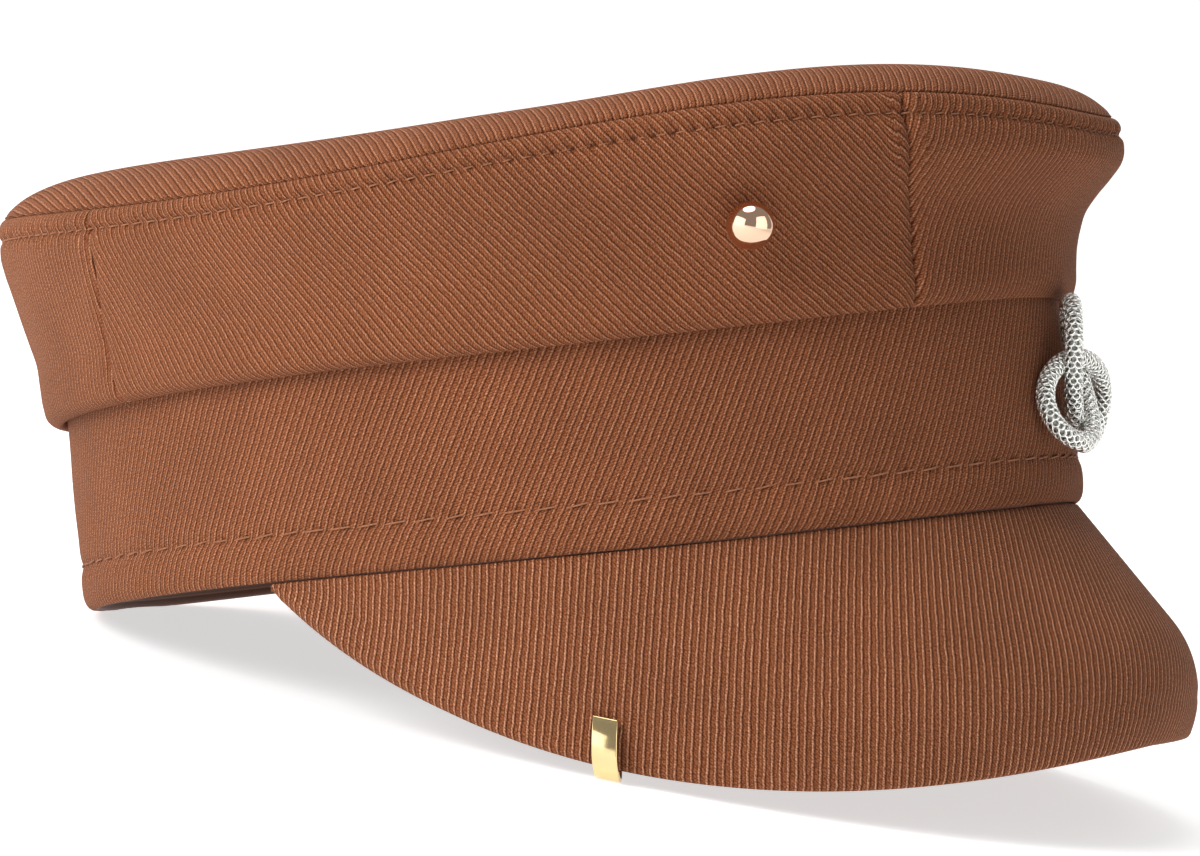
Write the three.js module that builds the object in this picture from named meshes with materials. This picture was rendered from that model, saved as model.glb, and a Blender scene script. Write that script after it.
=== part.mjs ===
// A peaked baker boy cap of brown twill, in millimetres, +Z up.
// The cap is drawn with its rim in the plane z = 0, its peak towards -Y and its crown towards +Z,
// and is then pitched back into the pose in which it rests by itself: on the back of its rim, on
// the lowest stretch of its peak's edge on the left and on the cuff on the right. Only the cloth
// is flattened there.
import * as THREE from "three";

// Rim of the band: two half ellipses that share their side axis
const RIM = { front: 97.8, side: 83.7, back: 102.0 };
const RIM_WAVE = 0.55;

// Heights above the rim plane
const FOLD_HEIGHT = 37.5;
const SEAM_HEIGHT = 75.8;
const FOLD_WAVE = { once: 1.1, thrice: 0.7 };
const SEAM_WAVE = { twice: 1.9, thrice: -1.8, fourth: -0.6 };
const SEAM_DIP = { depth: 2.6, narrow: 9.9 };

// Walls and clearances
const GAP = 0.3;
const LOOSE_GAP = 0.4;
const BAND_WALL = 2.6;
const BAND_TUCK = 3.4;
const BAND_HEM = { height: 1.0, taper: 0.6 };
const CROWN_WALL = 2.2;
const CROWN_LIP = { head: 3.2, foot: 0.6 };
const CROWN_LINED_FROM = 0.15;
const TOP_WALL = 2.0;
const SWEATBAND_WALL = 1.0;
const SWEATBAND_FOOT = 1.6;
const SWEATBAND_HEIGHT = 31;

// Panel seams of the crown, in degrees round from the front, at the fold and at the top seam
const FRONT_SEAM = { fold: 31, top: 36.8 };
const BACK_SEAM = { fold: 128.4, top: 126 };
const STEP = 6;

// Outline of the crown wall: share of the way up from the fold to the top seam, and how far
// the cloth stands out from the rim at the front, the sides and the back
const CROWN_PROFILE = [
  { share: 0.0, front: 1.1, side: 2.0, back: 2.3 },
  { share: 0.035, front: 2.0, side: 3.6, back: 3.9 },
  { share: 0.1, front: 3.1, side: 4.3, back: 4.6 },
  { share: 0.2, front: 3.6, side: 4.5, back: 4.8 },
  { share: 0.3, front: 4.1, side: 4.8, back: 4.9 },
  { share: 0.4, front: 5.1, side: 5.5, back: 5.9 },
  { share: 0.5, front: 6.7, side: 6.4, back: 7.0 },
  { share: 0.58, front: 9.2, side: 7.3, back: 7.8 },
  { share: 0.66, front: 12.2, side: 8.2, back: 8.6 },
  { share: 0.75, front: 14.9, side: 9.0, back: 9.5 },
  { share: 0.83, front: 15.5, side: 9.6, back: 9.9 },
  { share: 0.9, front: 14.7, side: 9.3, back: 9.2 },
  { share: 0.95, front: 14.8, side: 9.5, back: 9.2 },
  { share: 1.0, front: 14.4, side: 9.2, back: 8.9 },
];

// Outline of the band: height above the rim as a share of the fold's height, and how far out
const BAND_PROFILE = [
  { share: 0.0, out: -1.1 },
  { share: 0.012, out: -0.4 },
  { share: 0.04, out: 0.1 },
  { share: 0.12, out: 0.4 },
  { share: 0.2, out: 0.2 },
  { share: 0.235, out: -0.1 },
  { share: 0.3, out: 0.1 },
  { share: 0.6, out: 0.1 },
  { share: 1.0, out: 0.0 },
];

// Puffed top: how high it stands over the seam from front to back, how fast the cloth rises from
// the seam, and its rings as shares of the seam's outline
const TOP_RISES = [
  { y: -112, rise: 11.7 },
  { y: -85, rise: 9.0 },
  { y: -60, rise: 7.25 },
  { y: -35, rise: 6.4 },
  { y: -10, rise: 6.9 },
  { y: 20, rise: 7.4 },
  { y: 112, rise: 7.7 },
];
const TOP_EASE = { front: 8.5, back: 7.3 };
const TOP_INSET = 0.4;
const TOP_RINGS = [1, 0.99, 0.975, 0.95, 0.91, 0.85, 0.75, 0.6, 0.4, 0.2];
const TOP_LINING_RINGS = [0.97, 0.91, 0.8, 0.6, 0.3];

// Peak: half its spread round the rim, its length and slope, and the roll of its edge
const PEAK_SPREAD = 110;
const PEAK_LENGTH = 53.4;
const PEAK_FULLNESS = { power: 3.1, sharpness: 0.9 };
const PEAK_SLOPE = { front: 56, side: 80.5, settled: 0.8 };
const PEAK_ROLL = { front: 66, side: 10, from: 0.54 };
const PEAK_FAN = 0.57;
const PEAK_WALL = 3.2;
const PEAK_INSET = 1.0;
const PEAK_SHORTEST = 4;
const PEAK_STEP = 4.5;
const PEAK_ROWS = 9;
const PEAK_EDGE_ROWS = 4;
const PEAK_WALK = 24;

// Ball stud: its place as degrees round and share of the way up the crown wall
const STUD = { radius: 4.4, post: 1.3, round: 53.1, share: 0.475, arcs: 12, sides: 24 };

// Cuff: its place round the peak, its strip and the reach of its two legs; how far they lean round
// the peak per millimetre, its twist in degrees, and its skew along the edge per millimetre off the
// board's middle; how far it stands off the cloth: at the end of the outer leg, from the share of
// that leg where it has risen, at the edge and inside
const CUFF = { round: 74, width: 4.5, wall: 0.8, outside: 6.8, inside: 6.5 };
const CUFF_TURN = { lean: 0.0012, twist: 8, skew: 0.55 };
const CUFF_STAND = { end: 0.7, most: 2.6, risen: 0.8, edge: 1.4, inside: 1.3 };
const CUFF_STEPS = { leg: 6, edge: 6 };

// Knot: its three loops, and how much lower than its path's centre its middle is
const KNOT = { size: 5.25, strand: 1.7, lift: 2.1, height: 24.2, standOff: 4.3, lower: 0.35 };
const KNOT_STEPS = { round: 10, along: 84 };

// Small steps for reading the direction of a curve, in radians and as shares
const NUDGE = { turn: 0.01, share: 0.02, route: 0.001 };

// The pose at rest: degrees of pitch and roll, and the shift that stands it on z = 0
const REST = { pitch: 17.345, roll: 0.845, x: -0.989, y: -3.255, lift: 29.935 };

const COLOURS = {
  twill: 0x8b5539,
  twillShade: 0x7a4a31,
  lining: 0x3a2016,
  roseGold: 0xd9a083,
  gold: 0xc9a760,
  silver: 0xb9b9b2,
};

const rad = THREE.MathUtils.degToRad;

function material(colour, roughness, metalness = 0) {
  return new THREE.MeshStandardMaterial({ color: colour, roughness, metalness });
}

// Where a half ellipse pair with these semi-axes passes at angle t, t = 0 at the front
function egg(t, axes) {
  const long = Math.cos(t) > 0 ? axes.front : axes.back;
  return [-axes.side * Math.sin(t), -long * Math.cos(t)];
}

// A column of a table at a place between two of its rows
function between(rows, column, place, wanted) {
  const k = Math.max(1, rows.findIndex((row) => row[column] >= place));
  const [below, above] = [rows[k - 1], rows[k]];
  const mix = (place - below[column]) / (above[column] - below[column]);
  return below[wanted] + (above[wanted] - below[wanted]) * mix;
}

function grown(out) {
  const by = typeof out === "number" ? { front: out, side: out, back: out } : out;
  return { front: RIM.front + by.front, side: RIM.side + by.side, back: RIM.back + by.back };
}

const rimHeight = (t) => RIM_WAVE * Math.cos(3 * t);
const foldHeight = (t) =>
  FOLD_HEIGHT + FOLD_WAVE.once * Math.cos(t) + FOLD_WAVE.thrice * Math.cos(3 * t);
const seamWave = (t) =>
  SEAM_WAVE.twice * Math.cos(2 * t) +
  SEAM_WAVE.thrice * Math.cos(3 * t) +
  SEAM_WAVE.fourth * Math.cos(4 * t) -
  SEAM_DIP.depth * Math.exp((Math.cos(t) - 1) * SEAM_DIP.narrow);
const seamHeight = (t) => SEAM_HEIGHT + seamWave(t);

// The cap's pose, and its flattening where cloth would reach below the surface it lies on
const cap = new THREE.Group();
cap.rotation.set(-rad(REST.pitch), rad(REST.roll), 0, "XYZ");
cap.position.set(REST.x, REST.y, REST.lift);
cap.updateMatrixWorld(true);
const toFloor = cap.matrixWorld;
const fromFloor = toFloor.clone().invert();

function flattened(sections) {
  return sections.map((section) =>
    section.map((point) => {
      const onFloor = point.clone().applyMatrix4(toFloor);
      return onFloor.z >= 0 ? point : onFloor.setZ(0).applyMatrix4(fromFloor);
    }),
  );
}

// A closed skin through sections with equal numbers of corners, joined end to end or capped.
// Each section runs round against the clock as seen from the start.
function skin(sections, caps = null) {
  const corners = sections[0].length;
  const positions = sections.flat().flatMap((p) => p.toArray());
  const faces = [];
  const spans = caps ? sections.length - 1 : sections.length;
  for (let i = 0; i < spans; i++) {
    const here = i * corners;
    const next = ((i + 1) % sections.length) * corners;
    for (let j = 0; j < corners; j++) {
      const k = (j + 1) % corners;
      faces.push(here + j, here + k, next + k, here + j, next + k, next + j);
    }
  }
  if (caps) {
    const last = (sections.length - 1) * corners;
    for (const [a, b, c] of caps.first) faces.push(a, c, b);
    for (const [a, b, c] of caps.last) faces.push(last + a, last + b, last + c);
  }
  return new THREE.BufferGeometry()
    .setAttribute("position", new THREE.Float32BufferAttribute(positions, 3))
    .setIndex(faces);
}

// Triangles that fill one section, drawn as [out, up] pairs
function filled(outline) {
  const contour = outline.map(([out, up]) => new THREE.Vector2(out, up));
  const triangles = THREE.ShapeUtils.triangulateShape(contour, []);
  return THREE.ShapeUtils.isClockWise(contour) ? triangles.map(([a, b, c]) => [a, c, b]) : triangles;
}

function anglesBetween(from, to, step) {
  const count = Math.round((to - from) / step);
  return Array.from({ length: count + 1 }, (_, i) => rad(from + ((to - from) * i) / count));
}

function ringAngles() {
  return Array.from({ length: 360 / STEP }, (_, i) => rad(i * STEP));
}

// A wall section at angle t from an outline of { axes, up } corners
function wallSection(t, outline) {
  return outline.map(({ axes, up }) => new THREE.Vector3(...egg(t, axes), up));
}

const inward = (row, by) => ({ front: row.front - by, side: row.side - by, back: row.back - by });

// Point of the crown wall at angle t and share of the way up, standing out from the rim by out
function crownPoint(t, share, out, raised = 0) {
  const fold = foldHeight(t);
  return new THREE.Vector3(...egg(t, grown(out)), fold + (seamHeight(t) - fold) * share + raised);
}

// Section of the crown wall that runs at angle round(share): the outside from the fold to the
// seam, the inside back down, and the turned-in lip that is sewn to the band
function crownSection(round) {
  const outside = CROWN_PROFILE.map((row) => crownPoint(round(row.share), row.share, row));
  const inside = CROWN_PROFILE.filter((row) => row.share > CROWN_LINED_FROM)
    .reverse()
    .map((row) => crownPoint(round(row.share), row.share, inward(row, CROWN_WALL)));
  const lip = [CROWN_LIP.head, CROWN_LIP.foot].map((raised) => crownPoint(round(0), 0, LOOSE_GAP, raised));
  return [...outside, ...inside, ...lip];
}

const mirrored = (seam, full = 0) => ({ fold: full - seam.fold, top: full - seam.top });

// Panel of the crown wall between two slanting seams, kept a gap away from each
function crownPanel(name, from, to) {
  const margin = THREE.MathUtils.radToDeg(GAP / 2 / RIM.front);
  const count = Math.round((to.fold - from.fold) / STEP);
  const seamAt = (seam, share) => seam.fold + (seam.top - seam.fold) * share;
  const sections = Array.from({ length: count + 1 }, (_, i) =>
    crownSection((share) => {
      const first = seamAt(from, share) + margin;
      const last = seamAt(to, share) - margin;
      return rad(first + ((last - first) * i) / count);
    }),
  );
  const plan = (section) => filled(section.map((p) => [Math.hypot(p.x, p.y), p.z]));
  const caps = { first: plan(sections[0]), last: plan(sections.at(-1)) };
  const mesh = new THREE.Mesh(skin(sections, caps), material(COLOURS.twill, 0.9));
  mesh.name = name;
  return mesh;
}

// Puffed top panel: an outer skin and an inner one, both rings round a pole
function crownTop() {
  const angles = ringAngles();
  const edge = CROWN_PROFILE.at(-1);
  const outer = grown(inward(edge, TOP_INSET));
  const middle = (TOP_EASE.front + TOP_EASE.back) / 2;
  const ease = (t) => middle + (TOP_EASE.front - middle) * Math.cos(t);
  const puff = (t, share) => {
    const y = egg(t, outer)[1] * share;
    return between(TOP_RISES, "y", y, "rise") * (1 - Math.exp((-(1 - share) * RIM.front) / ease(t)));
  };
  const point = (t, share, drop) => {
    const [x, y] = egg(t, outer);
    const up = SEAM_HEIGHT + GAP + seamWave(t) * share * share + puff(t, share) - drop;
    return new THREE.Vector3(x * share, y * share, up);
  };
  // the lining's outermost ring lies level with the seam
  const lined = (t, share) => (share === TOP_LINING_RINGS[0] ? puff(t, share) : TOP_WALL);
  const lining = (share) => angles.map((t) => point(t, share, lined(t, share)));
  const rings = [
    ...TOP_RINGS.map((share) => angles.map((t) => point(t, share, 0))),
    ...TOP_LINING_RINGS.toReversed().map(lining),
  ];
  const outside = TOP_RINGS.length;
  const count = angles.length;
  const positions = rings.flat().flatMap((p) => p.toArray());
  const poleOut = positions.length / 3;
  positions.push(...point(0, 0, 0).toArray(), ...point(0, 0, TOP_WALL).toArray());
  const faces = [];
  const strip = (a, b) => {
    for (let j = 0; j < count; j++) {
      const k = (j + 1) % count;
      faces.push(a * count + j, b * count + k, a * count + k, a * count + j, b * count + j, b * count + k);
    }
  };
  for (let i = 0; i < outside - 1; i++) strip(i, i + 1);
  for (let i = outside; i < rings.length - 1; i++) strip(i, i + 1);
  strip(rings.length - 1, 0);
  for (let j = 0; j < count; j++) {
    const k = (j + 1) % count;
    faces.push((outside - 1) * count + k, (outside - 1) * count + j, poleOut);
    faces.push(outside * count + j, outside * count + k, poleOut + 1);
  }
  const geometry = new THREE.BufferGeometry()
    .setAttribute("position", new THREE.Float32BufferAttribute(positions, 3))
    .setIndex(faces);
  const mesh = new THREE.Mesh(geometry, material(COLOURS.twill, 0.9));
  mesh.name = "crown_top";
  return mesh;
}

// Band: two layers of cloth with a turned hem, its top edge tucked up inside the crown
function band() {
  const sections = ringAngles().map((t) => {
    const rim = rimHeight(t);
    const rise = foldHeight(t) - rim;
    const top = rim + rise + BAND_TUCK;
    const outside = BAND_PROFILE.map((row) => ({ axes: grown(row.out), up: rim + rise * row.share }));
    const inside = [
      { axes: grown(0), up: top },
      { axes: grown(-BAND_WALL), up: top },
      { axes: grown(-BAND_WALL), up: rim + rise / 2 },
      { axes: grown(-BAND_WALL), up: rim + BAND_HEM.height },
      { axes: grown(-BAND_WALL + BAND_HEM.taper), up: rim },
    ];
    return wallSection(t, [...outside, ...inside]);
  });
  const mesh = new THREE.Mesh(skin(flattened(sections)), material(COLOURS.twill, 0.9));
  mesh.name = "band";
  return mesh;
}

function sweatband() {
  const outer = -BAND_WALL - GAP;
  const inner = outer - SWEATBAND_WALL;
  const sections = ringAngles().map((t) => {
    const foot = rimHeight(t) + SWEATBAND_FOOT;
    const head = rimHeight(t) + SWEATBAND_HEIGHT;
    return wallSection(t, [
      { axes: grown(outer), up: foot },
      { axes: grown(outer), up: head },
      { axes: grown(inner), up: head },
      { axes: grown(inner), up: foot },
    ]);
  });
  const mesh = new THREE.Mesh(skin(sections), material(COLOURS.lining, 0.8));
  mesh.name = "sweatband";
  return mesh;
}

// How long the peak is at angle t, and how steeply it leaves the rim there
function peakLength(t) {
  const share = Math.min(Math.abs(t) / rad(PEAK_SPREAD), 1);
  const full = Math.pow(1 - Math.pow(share, PEAK_FULLNESS.power), PEAK_FULLNESS.sharpness);
  return Math.max(PEAK_LENGTH * full, PEAK_SHORTEST);
}

// Slope of the peak at angle t and share v of its length; beyond ROLL.from it curls down
function peakSlope(t, v) {
  const share = Math.min(Math.abs(t) / rad(PEAK_SPREAD) / PEAK_SLOPE.settled, 1);
  const blend = (1 - Math.cos(Math.PI * share)) / 2;
  const flat = PEAK_SLOPE.front + (PEAK_SLOPE.side - PEAK_SLOPE.front) * blend;
  const roll = PEAK_ROLL.front + (PEAK_ROLL.side - PEAK_ROLL.front) * blend;
  return rad(flat + (roll * Math.max(0, v - PEAK_ROLL.from)) / (1 - PEAK_ROLL.from));
}

// Direction in which the peak runs out from the rim: partly fanned out with the rim's normal
function peakHeading(t) {
  const long = Math.cos(t) > 0 ? RIM.front : RIM.back;
  const normal = Math.atan2(Math.sin(t) / RIM.side, Math.cos(t) / long);
  return [-Math.sin(normal * PEAK_FAN), -Math.cos(normal * PEAK_FAN)];
}

// The peak's upper face at angle t and share v of its length, with its outward normal
function peakFace(t, v) {
  const step = (peakLength(t) * v) / PEAK_WALK;
  let run = 0;
  let drop = 0;
  for (let i = 0; i < PEAK_WALK; i++) {
    const passed = peakSlope(t, (v * (i + 0.5)) / PEAK_WALK);
    run += Math.cos(passed) * step;
    drop += Math.sin(passed) * step;
  }
  const [hx, hy] = peakHeading(t);
  const [x, y] = egg(t, grown(-PEAK_INSET));
  const slope = peakSlope(t, v);
  return {
    at: new THREE.Vector3(x + hx * run, y + hy * run, rimHeight(t) - LOOSE_GAP - drop),
    normal: new THREE.Vector3(hx * Math.sin(slope), hy * Math.sin(slope), Math.cos(slope)),
    down: new THREE.Vector3(hx * Math.cos(slope), hy * Math.cos(slope), -Math.sin(slope)),
  };
}

// Section of the peak: upper face, half round edge, lower face
function peakSection(t) {
  const radius = PEAK_WALL / 2;
  const straight = 1 - radius / peakLength(t);
  const upper = Array.from({ length: PEAK_ROWS + 1 }, (_, i) => peakFace(t, (straight * i) / PEAK_ROWS));
  const edge = upper.at(-1);
  const centre = edge.at.clone().addScaledVector(edge.normal, -radius);
  const round = Array.from({ length: PEAK_EDGE_ROWS - 1 }, (_, i) => {
    const turn = (Math.PI * (i + 1)) / PEAK_EDGE_ROWS;
    return centre
      .clone()
      .addScaledVector(edge.normal, radius * Math.cos(turn))
      .addScaledVector(edge.down, radius * Math.sin(turn));
  });
  const lower = upper.toReversed().map(({ at, normal }) => at.clone().addScaledVector(normal, -PEAK_WALL));
  // the lower face ends level with the upper one, under the band
  lower.at(-1).z = Math.min(lower.at(-1).z, upper[0].at.z);
  return [...upper.map(({ at }) => at), ...round, ...lower].reverse();
}

function peak() {
  const angles = anglesBetween(-PEAK_SPREAD, PEAK_SPREAD, PEAK_STEP);
  const sections = flattened(angles.map(peakSection));
  const plan = (t, section) => {
    const [hx, hy] = peakHeading(t);
    return filled(section.map((p) => [p.x * hx + p.y * hy, p.z]));
  };
  const caps = { first: plan(angles[0], sections[0]), last: plan(angles.at(-1), sections.at(-1)) };
  const mesh = new THREE.Mesh(skin(sections, caps), material(COLOURS.twillShade, 0.9));
  mesh.name = "peak";
  return mesh;
}

// How far the crown wall stands out at a share of its height
function crownOut(share) {
  const read = (side) => between(CROWN_PROFILE, "share", share, side);
  return { front: read("front"), side: read("side"), back: read("back") };
}

// Ball on a short post, turned from one profile and set square to the crown wall
function ballStud() {
  const { radius, post, share, arcs, sides } = STUD;
  const start = Math.asin(post / radius);
  const arc = Array.from({ length: arcs }, (_, i) => {
    const turn = start + ((Math.PI - start) * i) / arcs;
    return new THREE.Vector2(radius * Math.sin(turn), radius - radius * Math.cos(turn));
  });
  const foot = [new THREE.Vector2(0, -GAP), new THREE.Vector2(post, -GAP)];
  const profile = [...foot, ...arc, new THREE.Vector2(0, 2 * radius)];
  const mesh = new THREE.Mesh(new THREE.LatheGeometry(profile, sides), material(COLOURS.roseGold, 0.18, 1));
  const t = rad(STUD.round);
  const wall = (angle, height) => crownPoint(angle, height, crownOut(height));
  const along = wall(t + NUDGE.turn, share).sub(wall(t - NUDGE.turn, share));
  const upward = wall(t, share + NUDGE.share).sub(wall(t, share - NUDGE.share));
  const normal = new THREE.Vector3().crossVectors(upward, along).normalize();
  mesh.position.copy(wall(t, share)).addScaledVector(normal, 2 * GAP);
  mesh.quaternion.setFromUnitVectors(new THREE.Vector3(0, 1, 0), normal);
  mesh.name = "ball_stud";
  return mesh;
}

// Direction of the peak's edge where the cuff sits
function alongEdge() {
  const round = rad(CUFF.round);
  const onEdge = (t) => peakFace(t, 1 - PEAK_WALL / 2 / peakLength(round)).at;
  return onEdge(round + NUDGE.share).sub(onEdge(round - NUDGE.share)).normalize();
}

// Path of the cuff's inner face round the peak's edge, from the end of its outer leg to the end
// of its inner one; away points out of the cloth
function cuffPath() {
  const round = rad(CUFF.round);
  const radius = PEAK_WALL / 2;
  const station = (back) => {
    const t = round - CUFF_TURN.lean * back;
    return peakFace(t, (peakLength(round) - radius - back) / peakLength(t));
  };
  const { end, most, risen, edge, inside } = CUFF_STAND;
  const outer = Array.from({ length: CUFF_STEPS.leg + 1 }, (_, i) => {
    const passed = i / CUFF_STEPS.leg;
    const { at, normal } = station(CUFF.outside * (1 - passed));
    const off = end + (most - end) * Math.sin((Math.PI / 2) * Math.min(1, passed / risen));
    return { at: at.clone().addScaledVector(normal, off), away: normal };
  });
  const brim = station(0);
  const centre = brim.at.clone().addScaledVector(brim.normal, -radius);
  const bend = Array.from({ length: CUFF_STEPS.edge - 1 }, (_, i) => {
    const turn = (Math.PI * (i + 1)) / CUFF_STEPS.edge;
    const away = brim.normal
      .clone()
      .multiplyScalar(Math.cos(turn))
      .addScaledVector(brim.down, Math.sin(turn));
    const leg = turn < Math.PI / 2 ? most : inside;
    const off = leg + (edge - leg) * Math.sin(turn) * Math.sin(turn);
    return { at: centre.clone().addScaledVector(away, radius + off), away };
  });
  const inner = Array.from({ length: CUFF_STEPS.leg + 1 }, (_, i) => {
    const { at, normal } = station((CUFF.inside * i) / CUFF_STEPS.leg);
    return { at: at.clone().addScaledVector(normal, -PEAK_WALL - inside), away: normal.clone().negate() };
  });
  const along = alongEdge();
  return [...outer, ...bend, ...inner].map(({ at, away }) => {
    const height = at.clone().sub(centre).dot(brim.normal);
    return { at: at.addScaledVector(along, CUFF_TURN.skew * height), away };
  });
}

// Strip bent into a C over the peak's edge, twisted a little so that its front side stands off
function peakCuff() {
  const round = rad(CUFF.round);
  const { normal } = peakFace(round, 1 - PEAK_WALL / 2 / peakLength(round));
  const twist = rad(CUFF_TURN.twist);
  const across = alongEdge()
    .multiplyScalar(Math.cos(twist))
    .addScaledVector(normal, -Math.sin(twist));
  const sections = cuffPath().map(({ at, away }) => {
    const corner = (off, side) =>
      at.clone().addScaledVector(away, off).addScaledVector(across, (side * CUFF.width) / 2);
    return [corner(0, -1), corner(CUFF.wall, -1), corner(CUFF.wall, 1), corner(0, 1)];
  });
  const quad = [
    [0, 1, 2],
    [0, 2, 3],
  ];
  const mesh = new THREE.Mesh(skin(sections, { first: quad, last: quad }), material(COLOURS.gold, 0.2, 1));
  mesh.name = "peak_cuff";
  return mesh;
}

// Knot of three loops in one round strand, bent round the front of the band
class KnotRoute extends THREE.Curve {
  getPoint(share, target = new THREE.Vector3()) {
    const a = share * 2 * Math.PI;
    const across = KNOT.size * (Math.sin(a) + 2 * Math.sin(2 * a));
    const up = KNOT.height - KNOT.size * (Math.cos(a) - 2 * Math.cos(2 * a) + KNOT.lower);
    const out = KNOT.standOff + KNOT.lift * Math.sin(3 * a);
    const t = -Math.asin(across / (RIM.side + out));
    const [x, y] = egg(t, grown(out));
    return target.set(x, y, up);
  }
}

function chainOrnament() {
  const route = new KnotRoute();
  const sections = Array.from({ length: KNOT_STEPS.along }, (_, i) => {
    const share = i / KNOT_STEPS.along;
    const at = route.getPoint(share);
    const ahead = route.getPoint(share + NUDGE.route).sub(route.getPoint(share - NUDGE.route)).normalize();
    const side = new THREE.Vector3().crossVectors(ahead, new THREE.Vector3(0, -1, 0)).normalize();
    const out = new THREE.Vector3().crossVectors(ahead, side);
    return Array.from({ length: KNOT_STEPS.round }, (_, j) => {
      const turn = (2 * Math.PI * j) / KNOT_STEPS.round;
      return at
        .clone()
        .addScaledVector(side, KNOT.strand * Math.cos(turn))
        .addScaledVector(out, KNOT.strand * Math.sin(turn));
    });
  });
  const mesh = new THREE.Mesh(skin(sections), material(COLOURS.silver, 0.35, 1));
  mesh.name = "chain_ornament";
  return mesh;
}

cap.add(
  crownTop(),
  crownPanel("crown_front", mirrored(FRONT_SEAM), FRONT_SEAM),
  crownPanel("crown_side_right", FRONT_SEAM, BACK_SEAM),
  crownPanel("crown_side_left", mirrored(BACK_SEAM), mirrored(FRONT_SEAM)),
  crownPanel("crown_back", BACK_SEAM, mirrored(BACK_SEAM, 360)),
  band(),
  sweatband(),
  peak(),
  ballStud(),
  peakCuff(),
  chainOrnament(),
);

const model = new THREE.Group();
model.add(cap);

export default model;
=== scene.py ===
# %% [markdown]
# # A baker boy cap, made in Blender
# The real cap is brown whipcord, a firm twill with fine raised ribs. It has a puffed top, four
# wall panels that fold in over a straight band, and a stiff peak under the band. Trim: a small
# ball stud, a thin metal cuff clipped over the peak's edge, and a knot of fine chain in front.
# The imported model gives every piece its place, so the first step only loads it and keeps its box.

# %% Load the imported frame
import math
from functools import partial

import bmesh
import bpy
import numpy as np
from mathutils import Matrix, Vector


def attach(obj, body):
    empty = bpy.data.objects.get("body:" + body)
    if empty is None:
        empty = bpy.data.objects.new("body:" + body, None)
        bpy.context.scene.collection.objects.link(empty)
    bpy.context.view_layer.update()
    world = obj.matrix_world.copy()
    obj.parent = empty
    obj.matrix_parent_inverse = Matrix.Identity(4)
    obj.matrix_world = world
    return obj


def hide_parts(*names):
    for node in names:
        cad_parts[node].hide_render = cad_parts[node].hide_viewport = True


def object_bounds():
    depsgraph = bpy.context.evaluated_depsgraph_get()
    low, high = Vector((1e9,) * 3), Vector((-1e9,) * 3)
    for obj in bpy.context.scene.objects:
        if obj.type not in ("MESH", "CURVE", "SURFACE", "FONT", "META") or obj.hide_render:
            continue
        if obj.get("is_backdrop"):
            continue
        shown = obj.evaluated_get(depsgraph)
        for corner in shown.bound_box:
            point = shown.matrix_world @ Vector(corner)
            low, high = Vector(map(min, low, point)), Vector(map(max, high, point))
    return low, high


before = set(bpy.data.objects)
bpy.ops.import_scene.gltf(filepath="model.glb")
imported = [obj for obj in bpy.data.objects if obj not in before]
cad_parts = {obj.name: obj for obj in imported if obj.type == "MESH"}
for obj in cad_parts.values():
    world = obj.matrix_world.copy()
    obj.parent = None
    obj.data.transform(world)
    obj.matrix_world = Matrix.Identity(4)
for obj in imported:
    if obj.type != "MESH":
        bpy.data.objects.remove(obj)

cad_low, cad_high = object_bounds()
print("box of the packed cap in mm:", [round(v * 1000, 1) for v in (*cad_low, *cad_high)])

# %% [markdown]
# ## How the cap lies
# A pattern maker draws a cap with its rim level. Left on a table by itself, the cap tips back on
# the back of its rim and the edge of its peak. So every piece is drawn in the level frame, in
# millimetres, and one turn and shift lays it down. Cloth that would sink into the table is
# pressed flat there, as its own weight does.

# %% Level frame to table
PITCH_BACK = math.radians(17.345)
ROLL_SIDE = math.radians(0.845)
TURN = np.array(Matrix.Rotation(-PITCH_BACK, 3, "X") @ Matrix.Rotation(ROLL_SIDE, 3, "Y"))
SHIFT = np.array([-0.989, -3.255, 29.935])
METRE = 1000.0


def on_table(points, pressed=False):
    """Points of the level frame, in mm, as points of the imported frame, in metres."""
    laid = np.asarray(points) @ TURN.T + SHIFT
    if pressed:
        laid[..., 2] = np.maximum(laid[..., 2], 0.0)
    return laid / METRE


def unit(vectors):
    return vectors / np.maximum(np.linalg.norm(vectors, axis=-1, keepdims=True), 1e-9)


def direction(around, above):
    """The way that lies at these degrees round from the front and up."""
    a, e = math.radians(around), math.radians(above)
    return np.array([math.sin(a) * math.cos(e), -math.cos(a) * math.cos(e), math.sin(e)])


def placed(name, data):
    made = bpy.data.objects.new(name, data)
    bpy.context.scene.collection.objects.link(made)
    return made


print("middle of the rim lies", round(on_table([0, 0, 0])[2] * METRE, 1), "mm up")

# %% [markdown]
# ## The camera
# The photograph looks at the wearer's right side from about a metre away, with a long lens,
# a little from the front. The camera is placed in the cap's level frame and laid down with it,
# which is why the floor seen in the picture has to be plain.

# %% Camera
CAMERA_AROUND, CAMERA_ABOVE = -70.04, -2.11
TILTED = math.radians(-5.94)
AWAY = 1089.6
LOOKS_AT = np.array([2.291, -4.013, 24.99])
SENSOR = 36.0
LENS = 166.36

towards_camera = direction(CAMERA_AROUND, CAMERA_ABOVE)
level_right = unit(np.cross(-towards_camera, [0, 0, 1]))
level_up = np.cross(level_right, -towards_camera)
picture_right = level_right * math.cos(TILTED) + level_up * math.sin(TILTED)
picture_up = level_up * math.cos(TILTED) - level_right * math.sin(TILTED)

camera = placed("camera", bpy.data.cameras.new("camera"))
camera.data.lens = LENS
camera.data.sensor_width = SENSOR
camera.data.clip_start = 0.05
camera.data.clip_end = 50
axes = np.stack([TURN @ picture_right, TURN @ picture_up, TURN @ towards_camera], axis=1)
place = on_table(LOOKS_AT + towards_camera * AWAY)
camera.matrix_world = Matrix.Translation(Vector(place)) @ Matrix(axes.tolist()).to_4x4()
bpy.context.scene.camera = camera
print("camera stands", round(place[2] * METRE), "mm above the table")

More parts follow.
